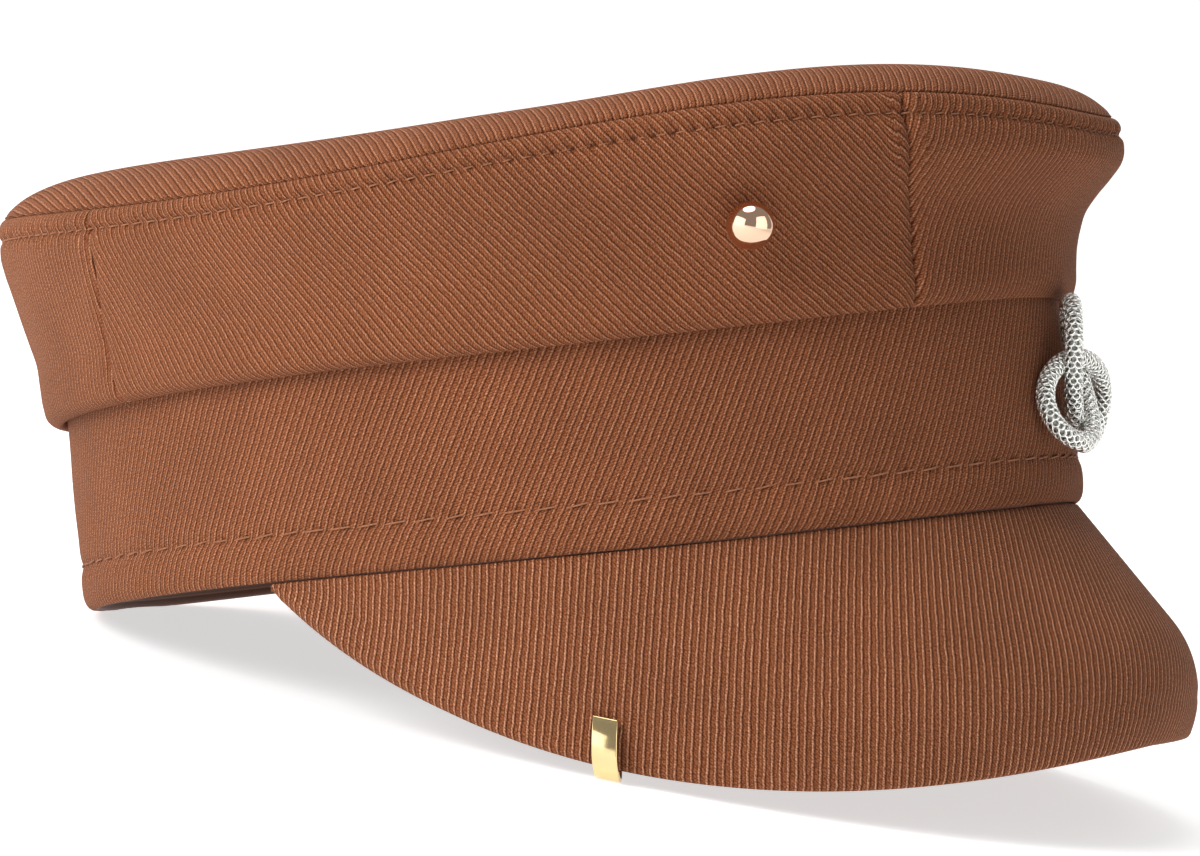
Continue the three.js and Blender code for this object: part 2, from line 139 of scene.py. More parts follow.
# %% [markdown]
# ## Lines of the cap
# Seen from above the rim is an egg: half an ellipse in front and a longer one behind, with a
# common width. Every piece stands a little out from or in from this line. The angle t runs round
# the cap from the middle of the front, with the wearer's right side at 90 degrees. The fold over
# the band and the top seam are not quite level; a few waves describe how cloth sits there.

# %% Rim, fold and seam
RIM = np.array([97.8, 83.7, 102.0])
FOLD_UP = 37.5
SEAM_UP = 75.8


def egg(t, reach):
    """Plan position at angle t of the egg whose front, side and back reach are given."""
    long = np.where(np.cos(t) > 0, reach[..., 0], reach[..., 2])
    return np.stack([-reach[..., 1] * np.sin(t), -long * np.cos(t)], axis=-1)


def rim_up(t):
    return 0.55 * np.cos(3 * t)


def fold_up(t):
    return FOLD_UP + 1.1 * np.cos(t) + 0.7 * np.cos(3 * t)


def seam_wave(t):
    dip = 2.6 * np.exp((np.cos(t) - 1) * 9.9)
    return 1.9 * np.cos(2 * t) - 1.8 * np.cos(3 * t) - 0.6 * np.cos(4 * t) - dip


def wall_up(t, share):
    """Height on the crown wall, at a share of the way from the fold to the top seam."""
    return fold_up(t) + (SEAM_UP + seam_wave(t) - fold_up(t)) * share


def raised(plan, up):
    return np.concatenate([plan, np.broadcast_to(up, plan.shape[:-1])[..., None]], axis=-1)


def at(t, out, up):
    """Points at angle t, standing out from the rim by out (front, side, back), at height up."""
    return raised(egg(t, RIM + out), up)


def bell(distance, width):
    return np.exp(-((distance / width) ** 2))


def whole_turn(count):
    return np.linspace(-math.pi, math.pi, count, endpoint=False)[:, None]


def smooth(knots, values, wanted):
    """A smooth curve through the values at the knots, read at the wanted places."""
    slopes = np.gradient(values, knots, axis=0)
    wanted = np.clip(wanted, knots[0], knots[-1])
    k = np.clip(np.searchsorted(knots, wanted, side="right") - 1, 0, len(knots) - 2)
    span = (knots[k + 1] - knots[k])[..., None]
    u = (wanted - knots[k])[..., None] / span
    rise = 3 * u**2 - 2 * u**3
    eased = (u**3 - 2 * u**2 + u) * slopes[k] + (u**3 - u**2) * slopes[k + 1]
    return values[k] * (1 - rise) + values[k + 1] * rise + eased * span


def spread_rows(rows, count, height):
    """Evenly spaced rows along the outline that the control rows draw."""
    ups = rows[:, 0] * height + rows[:, 1]
    outs = rows[:, 2:].mean(axis=1)
    steps = np.hypot(np.diff(ups), np.diff(outs))
    knots = np.concatenate([[0], np.cumsum(steps)])
    return smooth(knots, rows, np.linspace(0, knots[-1], count))


print("head room round the inside of the rim:", round(2 * math.pi * (RIM.mean() - 3.9)), "mm")

# %% [markdown]
# ## From rows of points to cloth
# A cloth piece here is two skins, outside and inside, each a grid of points that runs round the
# cap one way and up it the other. Joining their borders gives a closed wall with real thickness.
# Each corner also gets a place on the flat cloth, in millimetres, in a map called weave: across
# the ribs first, along them second. It is summed up from corner to corner along the surface, so
# the ribs keep their spacing round every curve, like cloth that has been cut and sewn.

# %% Mesh helpers
def weave_place(grid, lean, start_row=0):
    """Millimetres across and along the ribs at every point of a grid. Lean is the angle, in
    degrees, by which the ribs lean from straight up towards growing t."""
    lean = np.broadcast_to(np.radians(lean), grid.shape[:2])[..., None]
    level = unit(np.gradient(grid, axis=0))
    steep = np.gradient(grid, axis=1)
    steep = unit(steep - (steep * level).sum(-1, keepdims=True) * level)
    across = level * np.cos(lean) - steep * np.sin(lean)
    along = level * np.sin(lean) + steep * np.cos(lean)
    place = []
    for way in (across, along):
        round_sum = ((way[1:] + way[:-1]) / 2 * np.diff(grid, axis=0)).sum(-1)
        up_sum = ((way[:, 1:] + way[:, :-1]) / 2 * np.diff(grid, axis=1)).sum(-1)
        base = np.concatenate([[0], np.cumsum(round_sum[:, start_row])])
        rise = np.concatenate([np.zeros((len(grid), 1)), np.cumsum(up_sum, axis=1)], axis=1)
        place.append(base[:, None] + rise - rise[:, start_row : start_row + 1])
    return np.stack(place, axis=-1)


def plain_mesh(name, corners, faces, slots=(), face_slots=None):
    """A mesh object at the origin from corners in metres."""
    mesh = bpy.data.meshes.new(name)
    mesh.from_pydata([tuple(c) for c in corners], [], [tuple(map(int, f)) for f in faces])
    for slot in slots:
        mesh.materials.append(slot)
    if face_slots is not None:
        mesh.polygons.foreach_set("material_index", np.asarray(face_slots, dtype=np.int32))
    mesh.polygons.foreach_set("use_smooth", np.ones(len(mesh.polygons), dtype=bool))
    return placed(name, mesh)


def edited(made, change):
    """The object after change has been run on its mesh, opened for editing."""
    shell = bmesh.new()
    shell.from_mesh(made.data)
    change(shell)
    shell.to_mesh(made.data)
    shell.free()
    return made


def cloth(name, outside, inside, weave, joined, slots, pressed=False, marks=None):
    """A closed wall between two skins. weave and marks are maps over the outside grid, and the
    first has one more column than the grid where the piece closes on itself."""

    def quads(*corners):
        return np.stack(corners, axis=-1).reshape(-1, 4)

    def wall(number, there, inner):
        """Faces of the skin, its back, its foot and head, and its ends where it is open."""
        h, n = number[here], number[there]
        low, high = np.s_[:, :-1], np.s_[:, 1:]
        parts = [
            quads(h[low], h[high], n[high], n[low]),
            quads(h[low], n[low], n[high], h[high]) + inner,
            quads(h[:, 0], n[:, 0], n[:, 0] + inner, h[:, 0] + inner),
            quads(n[:, -1], h[:, -1], h[:, -1] + inner, n[:, -1] + inner),
        ]
        if not joined:
            first, last = number[0], number[-1]
            parts.append(quads(first[1:], first[:-1], first[:-1] + inner, first[1:] + inner))
            parts.append(quads(last[:-1], last[1:], last[1:] + inner, last[:-1] + inner))
        return np.concatenate(parts)

    rounds, rows = outside.shape[:2]
    here = np.arange(rounds if joined else rounds - 1)
    number = np.arange(rounds * rows).reshape(rounds, rows)
    faces = wall(number, (here + 1) % rounds, rounds * rows)
    skin = len(here) * (rows - 1)
    face_slots = np.zeros(len(faces), dtype=np.int32)
    face_slots[skin : 2 * skin] = len(slots) - 1
    corners = on_table(np.concatenate([outside.reshape(-1, 3), inside.reshape(-1, 3)]), pressed)
    made = plain_mesh(name, corners, faces, slots, face_slots)

    # maps: the seam column reads one past the last, so the weave never runs backwards there
    wide = np.arange(len(weave) * rows).reshape(len(weave), rows)
    read = wall(wide, here + 1, 0).reshape(-1)
    for map_name, values in {"weave": weave, **(marks or {})}.items():
        layer = made.data.uv_layers.new(name=map_name)
        layer.data.foreach_set("uv", values.reshape(-1, 2)[read].astype(np.float32).reshape(-1))
    made.data.update()
    print(f"{name}: {len(faces)} faces")
    return made


def tube(name, rings, slots, tips=None):
    """A closed tube through rings of corners, whose ends are flat or run to two tips."""
    count = rings.shape[1]
    number = np.arange(len(rings) * count).reshape(-1, count)
    corners = rings.reshape(-1, 3)
    faces = []
    for a, b in zip(number, number[1:]):
        faces += zip(a, b, np.roll(b, -1), np.roll(a, -1))
    if tips is None:
        faces += [number[0], number[-1][::-1]]
    else:
        for end, ring in enumerate((number[0], number[-1])):
            faces += zip(ring, np.roll(ring, -1), [len(corners) + end] * count)
        corners = np.concatenate([corners, tips])
    made = plain_mesh(name, on_table(corners), faces, slots)
    return edited(made, lambda shell: bmesh.ops.recalc_face_normals(shell, faces=shell.faces))


def angles(first, last, step, ends):
    """Angles from first to last, in degrees, at an even step, closer together at both ends."""
    count = max(2, round((last - first) / step))
    even = np.linspace(first, last, count + 1)[1:-1]
    near = np.array(ends)
    inner = even[(even > first + near[-1]) & (even < last - near[-1])]
    return np.radians(np.concatenate([[first], first + near, inner, (last - near)[::-1], [last]]))


# %% [markdown]
# ## Whipcord
# The cloth is a steep twill: every 1.4 mm a rib stands up, with a flatter stretch and a groove
# beside it. Close up each rib is a row of short slanting yarns. A procedural material can do this
# from the weave map alone: the first number, divided by the spacing, says where on the rib we are,
# and the second gives the single yarns. The colour paints highlights on the rib tops and the yarns
# and shade in the grooves and beside the ribs. A little noise bends the ribs and varies the dye,
# because no cloth is perfectly even. Sheen gives the pale fuzz at the edges.

# %% Node helpers
def fill(tree, node, inputs):
    """Links or sets the inputs of a node, given by name or number."""
    for name, value in inputs.items():
        if isinstance(value, bpy.types.NodeSocket):
            tree.links.new(value, node.inputs[name])
        else:
            node.inputs[name].default_value = value


def wired(tree, kind, inputs=None, out=0, **settings):
    """Adds a node with its settings and inputs, and gives one of its outputs."""
    node = tree.nodes.new(kind)
    for name, value in settings.items():
        setattr(node, name, value)
    fill(tree, node, inputs or {})
    return node.outputs[out]


def new_material(name):
    material = bpy.data.materials.new(name)
    material.use_nodes = True
    return material, material.node_tree, material.node_tree.nodes["Principled BSDF"]


def math_node(tree, operation, *values):
    return wired(tree, "ShaderNodeMath", dict(enumerate(values)), operation=operation)


def noise_node(tree, vector, scale, detail=2.0, roughness=0.5):
    inputs = {"Vector": vector, "Scale": scale, "Detail": detail, "Roughness": roughness}
    return wired(tree, "ShaderNodeTexNoise", inputs, "Fac")


def ramp_node(tree, factor, stops):
    """A colour ramp; a stop's colour is three numbers, or one for a grey."""
    node = tree.nodes.new("ShaderNodeValToRGB")
    elements = node.color_ramp.elements
    while len(elements) < len(stops):
        elements.new(0.5)
    for element, (position, colour) in zip(elements, stops):
        element.position = position
        element.color = (*(colour if isinstance(colour, tuple) else (colour,) * 3), 1.0)
    tree.links.new(factor, node.inputs["Fac"])
    return node.outputs["Color"]


def dyed(tree, colour, dye):
    inputs = {0: 1.0, 6: colour, 7: dye}
    return wired(tree, "ShaderNodeMix", inputs, 2, data_type="RGBA", blend_type="MULTIPLY")


def bump_node(tree, height, distance):
    return wired(tree, "ShaderNodeBump", {"Height": height, "Distance": distance}, "Normal")


def place_on(tree, map_name):
    """The two numbers of a map, and the vector itself."""
    place = wired(tree, "ShaderNodeUVMap", uv_map=map_name)
    node = tree.nodes.new("ShaderNodeSeparateXYZ")
    tree.links.new(place, node.inputs[0])
    return node.outputs[0], node.outputs[1], place


def object_place(tree):
    return wired(tree, "ShaderNodeTexCoord", out="Object")


# %% Whipcord material
RIB_SPACING = 1.40
YARN_LENGTH = 0.62
RIB_WANDER = 0.45
RIB_HEIGHT = 0.00034
# the darkest two browns are painted shade in the grooves and on the rib flanks; the two tans are
# painted highlights on the rib tops
GROOVE_SHADE_BROWN = (0.080, 0.0160, 0.0040)
BODY_BROWN = (0.250, 0.0800, 0.0310)
FLANK_SHADE_BROWN = (0.160, 0.0420, 0.0130)
RIB_HIGHLIGHT_TAN = (0.400, 0.1650, 0.0830)
PEAK_LIT_RIB_TAN = (0.510, 0.2300, 0.1250)
RIB_RELIEF = [(0.00, 0.0), (0.12, 0.6), (0.26, 1.0), (0.38, 0.7), (0.46, 0.42)]
RIB_RELIEF += [(0.58, 0.6), (0.78, 0.6), (0.92, 0.3), (1.00, 0.0)]
# yarn tones: fibre grain, and painted glints on the lit yarn tops
YARN_GRAIN_AND_GLINTS = [(0.0, (0.54, 0.44, 0.37)), (0.5, 0.97), (1.0, (1.55, 1.75, 1.96))]
HOLE_SHADE_STOPS = [(0.0, 0.3), (0.3, 0.5), (0.7, 0.85), (1.0, 1.0)]


def whipcord_material(name, rib_highlight, holes=None):
    """Ribbed cloth with painted highlights on its ribs and painted shade in its grooves; where
    holes is given, needle holes that far apart put painted shade along its row.
    """
    material, tree, shader = new_material(name)

    def math(operation, *values):
        return math_node(tree, operation, *values)

    across, along, weave = place_on(tree, "weave")
    wander = math("SUBTRACT", noise_node(tree, weave, 0.35), 0.5)
    place = math("MULTIPLY_ADD", wander, RIB_WANDER, across)
    turn = math("FRACT", math("DIVIDE", place, RIB_SPACING))

    # single yarns: short slanting strokes on the ribs, shorter ones between them, with painted glints
    stray = math("SUBTRACT", noise_node(tree, weave, 1.3), 0.5)
    slant = math("MULTIPLY_ADD", place, 0.9, math("MULTIPLY_ADD", stray, 1.1, along))
    beat = math("FRACT", math("DIVIDE", slant, YARN_LENGTH))
    yarn = math("ABSOLUTE", math("MULTIPLY_ADD", beat, 2.0, -1.0))
    yarn = math("MULTIPLY_ADD", yarn, 0.7, 0.15)
    fuzz = noise_node(tree, weave, 2.6, 3.0, 0.75)
    grain = math("MULTIPLY_ADD", math("SUBTRACT", fuzz, 0.5), 4.2, yarn)

    # rib colours: painted shade in the groove and on the flanks, a painted highlight on the rib top
    rib_light_and_shade = [(0.00, GROOVE_SHADE_BROWN), (0.10, BODY_BROWN), (0.20, rib_highlight), (0.32, rib_highlight)]
    rib_light_and_shade += [(0.44, FLANK_SHADE_BROWN), (0.54, BODY_BROWN), (0.80, BODY_BROWN)]
    rib_light_and_shade += [(0.92, FLANK_SHADE_BROWN), (1.00, GROOVE_SHADE_BROWN)]
    dye = noise_node(tree, object_place(tree), 38.0, 3.0, 0.6)
    colour = dyed(tree, ramp_node(tree, turn, rib_light_and_shade), ramp_node(tree, grain, YARN_GRAIN_AND_GLINTS))
    colour = dyed(tree, colour, ramp_node(tree, dye, [(0.3, 0.9), (0.7, 1.1)]))
    relief = math("MULTIPLY_ADD", grain, 0.22, ramp_node(tree, turn, RIB_RELIEF))

    # needle holes and the puckers round them: painted shade in the colour, with the relief lowered
    # there
    if holes:
        pierced, line, _ = place_on(tree, "stitching")
        part = math("SUBTRACT", math("FRACT", pierced), 0.5)
        beside = math("SUBTRACT", math("ABSOLUTE", part), 0.5)
        beside = math("POWER", math("MULTIPLY", beside, holes), 2.0)
        reach = math("SQRT", math("MULTIPLY_ADD", math("POWER", line, 2.0), 2.5, beside))
        needle_hole_shade = ramp_node(tree, reach, HOLE_SHADE_STOPS)
        colour = dyed(tree, colour, needle_hole_shade)
        relief = math("MULTIPLY", relief, needle_hole_shade)

    finish = {"Base Color": colour, "Normal": bump_node(tree, relief, RIB_HEIGHT)}
    finish.update({"Roughness": 0.86, "Specular IOR Level": 0.16, "Sheen Weight": 0.06})
    finish.update({"Sheen Roughness": 0.4, "Sheen Tint": (0.9, 0.6, 0.4, 1.0)})
    fill(tree, shader, finish)
    return material


RIM_STITCH = 3.6
BAND_STITCH = 5.7
whipcord = whipcord_material("whipcord", RIB_HIGHLIGHT_TAN)
# the peak's copy has lighter ribs: a painted highlight for the light on its upward face
whipcord_peak_lit = whipcord_material("whipcord_peak_lit", PEAK_LIT_RIB_TAN)
whipcord_rim = whipcord_material("whipcord_top_stitched", RIB_HIGHLIGHT_TAN, RIM_STITCH)
whipcord_band = whipcord_material("whipcord_band_stitched", RIB_HIGHLIGHT_TAN, BAND_STITCH)
print("ribs every", RIB_SPACING, "mm")

# %% [markdown]
# ## Lining and thread
# Inside, such caps have a thin dark lining and a ribbed sweatband; only a sliver of the far wall
# shows in the photograph, so both are simple: a satin with fine crossways ribs. The thread is a
# twisted tan cotton, a shade lighter than the cloth.

# %% Lining, sweatband and thread
def shaded(name, pattern, colour, stops, depth, finish):
    """A material shaded and raised by one pattern, which is a function of its node tree."""
    material, tree, shader = new_material(name)
    factor = pattern(tree)
    stops = [(position, tuple(v * by for v in colour)) for position, by in stops]
    look = {"Base Color": ramp_node(tree, factor, stops), "Normal": bump_node(tree, factor, depth)}
    fill(tree, shader, {**look, **finish})
    return material


def cross_ribs(tree, spacing):
    _, along, weave = place_on(tree, "weave")
    beat = math_node(tree, "FRACT", math_node(tree, "DIVIDE", along, spacing))
    rib = math_node(tree, "ABSOLUTE", math_node(tree, "MULTIPLY_ADD", beat, 2.0, -1.0))
    return math_node(tree, "MULTIPLY_ADD", noise_node(tree, weave, 0.8, 4.0, 0.6), 0.6, rib)


def ribbed_lining(name, colour, spacing, depth):
    ribs = partial(cross_ribs, spacing=spacing)
    finish = {"Roughness": 0.6, "Sheen Weight": 0.15}
    return shaded(name, ribs, colour, [(0.2, 0.6), (1.0, 1.3)], depth, finish)


def fibres(tree):
    return noise_node(tree, object_place(tree), 2600.0, 2.0, 0.6)


def thread_material(name, colour):
    finish = {"Roughness": 0.7, "Sheen Weight": 0.04}
    return shaded(name, fibres, colour, [(0.3, 0.62), (0.7, 1.25)], 0.00008, finish)


lining = ribbed_lining("lining", (0.11, 0.038, 0.017), 0.5, 0.00004)
sweat_ribbon = ribbed_lining("sweatband_ribbon", (0.12, 0.042, 0.018), 1.1, 0.00012)
thread = thread_material("tan_thread", (0.34, 0.130, 0.056))
rim_thread = thread_material("brown_thread", (0.38, 0.150, 0.066))

# %% [markdown]
# ## Metal
# Plated brass and steel are mirrors with a colour: base colour in the reflection, low roughness,
# and faint polishing marks that catch the light. All finishes share one recipe and differ in
# colour and polish.

# %% Plated finishes
def plated(name, colour, polish, marks):
    material, tree, shader = new_material(name)
    place = object_place(tree)
    fine = noise_node(tree, place, 900.0, 3.0, 0.6)
    broad = noise_node(tree, place, 120.0)
    worn = tuple(v * 0.93 for v in colour)
    finish = {"Base Color": ramp_node(tree, broad, [(0.3, worn), (0.7, colour)])}
    finish["Roughness"] = ramp_node(tree, fine, [(0.3, polish * 0.75), (0.7, polish * 1.4)])
    finish.update({"Normal": bump_node(tree, fine, marks), "Metallic": 1.0})
    fill(tree, shader, finish)
    return material


rose_gold = plated("rose_gold", (0.88, 0.58, 0.41), 0.06, 0.000003)
yellow_gold = plated("yellow_gold", (0.86, 0.66, 0.34), 0.12, 0.000005)
silver = plated("silver", (0.97, 0.97, 0.93), 0.3, 0.000008)
# the chain's core is dark grey: painted shade inside the cord of links
shade_core = plated("chain_shade_core", (0.34, 0.35, 0.32), 0.5, 0.000010)

# %% [markdown]
# ## Wall panels of the crown
# Four panels make the wall: front, two sides and back. Each is folded under at its lower edge,
# where it overhangs the band, swells out to the top seam and is topstitched 4 mm below it, which
# leaves a small welt. At the upright seams the cloth dives into a narrow dark line. A sewn shell
# is best drawn row by row, because each of these turns is a known distance from the next.
# The columns give: share of the way up, extra millimetres up, and how far the cloth stands out
# at the front, the sides and the back.

# %% Crown wall outline
CROWN_ROWS = [
    (0, 2.8, 0.45, 0.5, 0.5),
    (0, 0.8, 0.5, 0.6, 0.6),
    (0, 0.1, 0.75, 1.1, 1.3),
    (0.008, 0, 1.25, 2.2, 2.5),
    (0.035, 0, 2.1, 3.6, 3.9),
    (0.1, 0, 3.1, 4.3, 4.6),
    (0.2, 0, 3.6, 4.5, 4.8),
    (0.3, 0, 4.1, 4.8, 4.9),
    (0.4, 0, 5.1, 5.5, 5.9),
    (0.5, 0, 6.7, 6.4, 7.0),
    (0.58, 0, 9.2, 7.3, 7.8),
    (0.66, 0, 12.2, 8.2, 8.6),
    (0.75, 0, 14.9, 9.0, 9.5),
    (0.83, 0, 15.5, 9.6, 9.9),
    (0.875, 0, 15.2, 9.55, 9.6),
    (0.9, 0, 14.75, 9.35, 9.3),
    (0.918, 0, 15.0, 9.75, 9.6),
    (0.945, 0, 15.1, 9.95, 9.7),
    (0.97, 0, 14.95, 9.75, 9.45),
    (0.99, 0, 14.45, 9.25, 8.95),
    (1, 0, 13.8, 8.6, 8.3),
    (1, -0.15, 13.1, 7.9, 7.6),
    (1, -0.9, 12.7, 7.5, 7.2),
]
CROWN_ROWS = np.array(CROWN_ROWS)
WALL_ROWS = 84
CLOTH_THICK = 1.8
STITCH_SHARE = 0.900
STITCH_OUT = np.array([14.75, 9.35, 9.3])
SEAM_OUT = 10.0
SEAM_WIDTH = 0.5
ROUND_STEP = 0.42
SEAM_STEPS = (0.06, 0.14, 0.26, 0.42, 0.62, 0.88, 1.2, 1.6)


def unevenness(t, share, seed):
    """Slow waves of hand-sewn cloth, in mm, the same every run."""
    wave = 0.5 * np.sin(5 * t + 3.1 * share + seed) * np.sin(2.1 * share * math.pi)
    wave += 0.35 * np.sin(11 * t - 4.0 * share + 2.3 * seed)
    wave += 0.2 * np.sin(23 * t + 7.0 * share + 0.7 * seed)
    return 0.28 * wave * np.sin(np.pi * np.clip(share, 0, 1)) ** 0.5


def round_distance(t, reach):
    """Millimetres walked round the egg from t = 0, for an array of angles."""
    fine = np.linspace(-math.pi, math.pi, 7201)
    line = egg(fine, np.broadcast_to(reach, (len(fine), 3)))
    walked = np.concatenate([[0], np.cumsum(np.linalg.norm(np.diff(line, axis=0), axis=1))])
    walked -= np.interp(0.0, fine, walked)
    turns = np.floor((t + math.pi) / (2 * math.pi))
    return np.interp(t - turns * 2 * math.pi, fine, walked) + turns * (walked[-1] - walked[0])


def crown_panel(name, first, last, depths, lean, seed, closer=1.0):
    """Panel between two seams, each given as its angles at the shares of SEAM_SHARES. The cloth
    dives into them by depths, and closer sets its ribs closer together."""
    rows = spread_rows(CROWN_ROWS, WALL_ROWS, SEAM_UP - FOLD_UP)[None]
    share, extra, out = rows[..., 0], rows[..., 1], rows[..., 2:]
    seams = (first[:, None], last[:, None])
    begin, end = [np.radians(smooth(SEAM_SHARES, seam, share)[..., 0]) for seam in seams]
    columns = angles(first.mean(), last.mean(), ROUND_STEP, SEAM_STEPS)
    part = (columns - columns[0]) / (columns[-1] - columns[0])
    t = begin + (end - begin) * part[:, None]
    fold = fold_up(t)
    rise = SEAM_UP + seam_wave(t) - fold
    up = wall_up(t, share) + extra
    walked = round_distance(t, RIM + SEAM_OUT)
    from_seams = (walked - walked[:1], walked[-1:] - walked)
    dive = sum(deep * np.exp(-away / SEAM_WIDTH) for deep, away in zip(depths, from_seams))
    from_seam = np.minimum(*from_seams)
    allowance = 0.2 * bell(from_seam - 3.0, 2.2)
    stitch_line = (share - STITCH_SHARE) * rise
    beat = np.cos(2 * np.pi * walked / RIM_STITCH)
    pull = 0.5 * bell(stitch_line, 0.55) * (0.62 + 0.38 * beat)
    welt = (0.2 * bell(stitch_line - 1.3, 0.9) + 0.13 * bell(stitch_line + 1.3, 0.9)) * beat
    shape = allowance - welt + unevenness(t, share, seed) - dive - pull
    outside = at(t, out + shape[..., None], up)
    inner_out = np.maximum(out + shape[..., None] * 0.5 - CLOTH_THICK, 0.4)
    inner_up = fold + 1.4 + (up - fold) * (rise - 3.2) / rise
    inside = at(t, inner_out, inner_up)
    flat = at(t, out + allowance[..., None], up)
    weave = closer * weave_place(flat, lean(t, share, from_seam), WALL_ROWS // 2)
    holes = np.stack([walked / RIM_STITCH + 0 * share, stitch_line], axis=-1)
    marks = {"stitching": holes}
    return cloth(name, outside, inside, weave, False, [whipcord_rim, lining], marks=marks)


# %% [markdown]
# The ribs run a different way on each panel, because each was cut from the cloth at its own
# angle. On the side they lean back, more steeply near the front seam; the front panel meets
# them in a chevron; at the back they stand almost straight.

# %% Sew the four panels
SEAM_SHARES = np.array([0.0, 0.2, 0.4, 0.5, 0.6, 0.7, 0.8, 1.0])
FRONT_SEAM = np.array([31.0, 31.6, 32.2, 33.0, 34.5, 36.0, 36.8, 36.8])
BACK_SEAM = np.array([128.3, 128.8, 128.5, 127.7, 126.9, 126.2, 125.9, 126.0])
SEAM_GAP = 0.004
LEAN_AT = [35, 50, 65, 80, 92, 104, 115, 132]
SIDE_LEAN = [50, 43, 38.5, 36, 34, 30, 24, 16]


def right_lean(t, share, from_seam):
    lean = np.interp(np.degrees(np.abs(t)), LEAN_AT, SIDE_LEAN)
    return lean - 7.0 * np.clip((share - 0.65) / 0.35, 0, 1)


def left_lean(t, share, from_seam):
    return 68.0 - right_lean(t, share, from_seam)


def front_lean(t, share, from_seam):
    pulled = 9.0 * np.exp(-from_seam / 12.0) * (t > 0)
    return -11.0 + 5.0 * np.clip((share - 0.85) / 0.15, 0, 1) - pulled


def back_lean(t, share, from_seam):
    return -3.0 - 6.0 * np.clip(share, 0, 1) + 0 * t


FRONT_DEEP, BACK_DEEP = 1.1, 0.45
SIDE_CLOSER = 1.07
front, back = FRONT_SEAM, BACK_SEAM
hair = SEAM_GAP
seams = {
    "front": (hair - front, front - hair, (FRONT_DEEP, FRONT_DEEP), front_lean, 0.4),
    "side_right": (front + hair, back - hair, (FRONT_DEEP, BACK_DEEP), right_lean, 1.9, SIDE_CLOSER),
    "side_left": (hair - back, -front - hair, (BACK_DEEP, FRONT_DEEP), left_lean, 3.3, SIDE_CLOSER),
    "back": (back + hair, 360.0 - back - hair, (BACK_DEEP, BACK_DEEP), back_lean, 5.2),
}
panels = [crown_panel(f"crown_{part}_cloth", *sewn) for part, sewn in seams.items()]
for panel in panels:
    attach(panel, "root")
    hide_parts(panel.name.replace("_cloth", ""))

# %% [markdown]
# ## The puffed top
# The top panel is a flat egg of cloth, eased into the seam so that it rises seven millimetres or
# more within the first two centimetres and then lies nearly level, a little lower behind the
# front, where it sags. Rings shrinking towards the middle draw it, and the last ring is merged
# to one point. Its ribs are straight lines in plan, set at a slant.

# %% Crown top
TOP_RISES = [(-112, 11.7), (-85, 9.0), (-60, 7.25), (-35, 6.4), (-10, 6.9), (20, 7.4), (112, 7.7)]
TOP_RISES = np.array(TOP_RISES)
TOP_STEPS = 480
TOP_RINGS = [(0.9995, 0.97, 14), (0.966, 0.88, 18), (0.87, 0.7, 14), (0.66, 0.0, 14)]
TOP_SHARES = np.concatenate([np.linspace(*rings) for rings in TOP_RINGS])
TOP_SLANT = math.radians(30)
TOP_EDGE = np.array([13.7, 8.5, 8.2])
RIPPLE = 9.0
TOP_ROLL = [(-1.5, -0.5), (-0.8, -0.45), (-0.25, -0.2), (-0.02, 0.12), (0.05, 0.4)]


def top_up(t, share):
    plan = egg(t, (RIM + TOP_EDGE) * share[..., None])
    rise = smooth(TOP_RISES[:, 0], TOP_RISES[:, 1:], plan[..., 1])[..., 0]
    ease = 7.9 + 0.6 * np.cos(t)
    swell = rise * (1 - np.exp(-(1 - share) * RIM[0] / ease))
    round_over = 0.6 * np.clip((1 - share) / 0.007, 0, 1) ** 0.5
    return SEAM_UP + 0.1 + seam_wave(t) * share**2 + swell + round_over


def merge_pole(shell):
    bmesh.ops.remove_doubles(shell, verts=shell.verts, dist=1e-7)
    for edge in [e for e in shell.edges if not e.link_faces]:
        shell.edges.remove(edge)


def crown_top_cloth():
    t = whole_turn(TOP_STEPS)
    share = TOP_SHARES[None]

    def edge_plan(off):
        return egg(t, RIM + TOP_EDGE + off + 0 * t[..., None])

    walked = round_distance(t, RIM + SEAM_OUT)
    plan = egg(t, (RIM + TOP_EDGE) * share[..., None])
    ripple = 0.10 * bell((1 - share) * 100 - 3.0, 3.0) * np.cos(2 * np.pi * walked / RIPPLE)
    slow = 0.25 * np.sin(3 * t + 1.0) * np.sin(np.pi * share)
    slow += 0.3 * np.sin(2 * t + 5 * share) * share * (1 - share)
    face = raised(plan, top_up(t, share) + ripple + slow)
    seam_up = top_up(t, np.ones((1, 1)))
    turned = [raised(edge_plan(off), seam_up + lift) for off, lift in TOP_ROLL]
    outside = np.concatenate([*turned, face], axis=1)
    rolled = len(TOP_ROLL)
    thick = np.minimum(1.6, 0.35 + (1 - np.concatenate([[1] * rolled, TOP_SHARES])) * 60)[None]
    inside = outside.copy()
    inside[..., 2] -= thick
    inside[:, : rolled + 1] = raised(edge_plan(-1.8), seam_up - 0.6)

    # weave: straight ribs in plan, with the length of the slope kept
    steps = np.linalg.norm(np.diff(face[:, ::-1], axis=1), axis=-1)
    length = np.concatenate([np.zeros((len(t), 1)), np.cumsum(steps, axis=1)], axis=1)[:, ::-1]
    flat = np.linalg.norm(plan, axis=-1)
    spread = plan * (length / np.maximum(flat, 1e-6))[..., None]
    roll = np.linalg.norm(np.diff(outside[:, : rolled + 1], axis=1), axis=-1)
    beyond = np.cumsum(roll[:, ::-1], axis=1)[:, ::-1]
    outer = spread[:, :1] * (1 + beyond / length[:, :1])[..., None]
    x, y = np.moveaxis(np.concatenate([outer, spread], axis=1), -1, 0)
    c, s = math.cos(TOP_SLANT), math.sin(TOP_SLANT)
    weave = np.stack([x * s - y * c, -x * c - y * s], axis=-1)
    weave = np.concatenate([weave, weave[:1]])
    made = cloth("crown_top_cloth", outside, inside, weave, True, [whipcord, lining])
    return edited(made, merge_pole)


top = crown_top_cloth()
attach(top, "root")
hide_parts("crown_top")

# %% [markdown]
# ## The band
# The band is one strip of whipcord, doubled, with a turned hem at the rim and a row of long
# stitches 9 mm above it that holds the sweatband. It is tucked up behind the crown's fold, and
# its ends meet in one upright seam at the back.

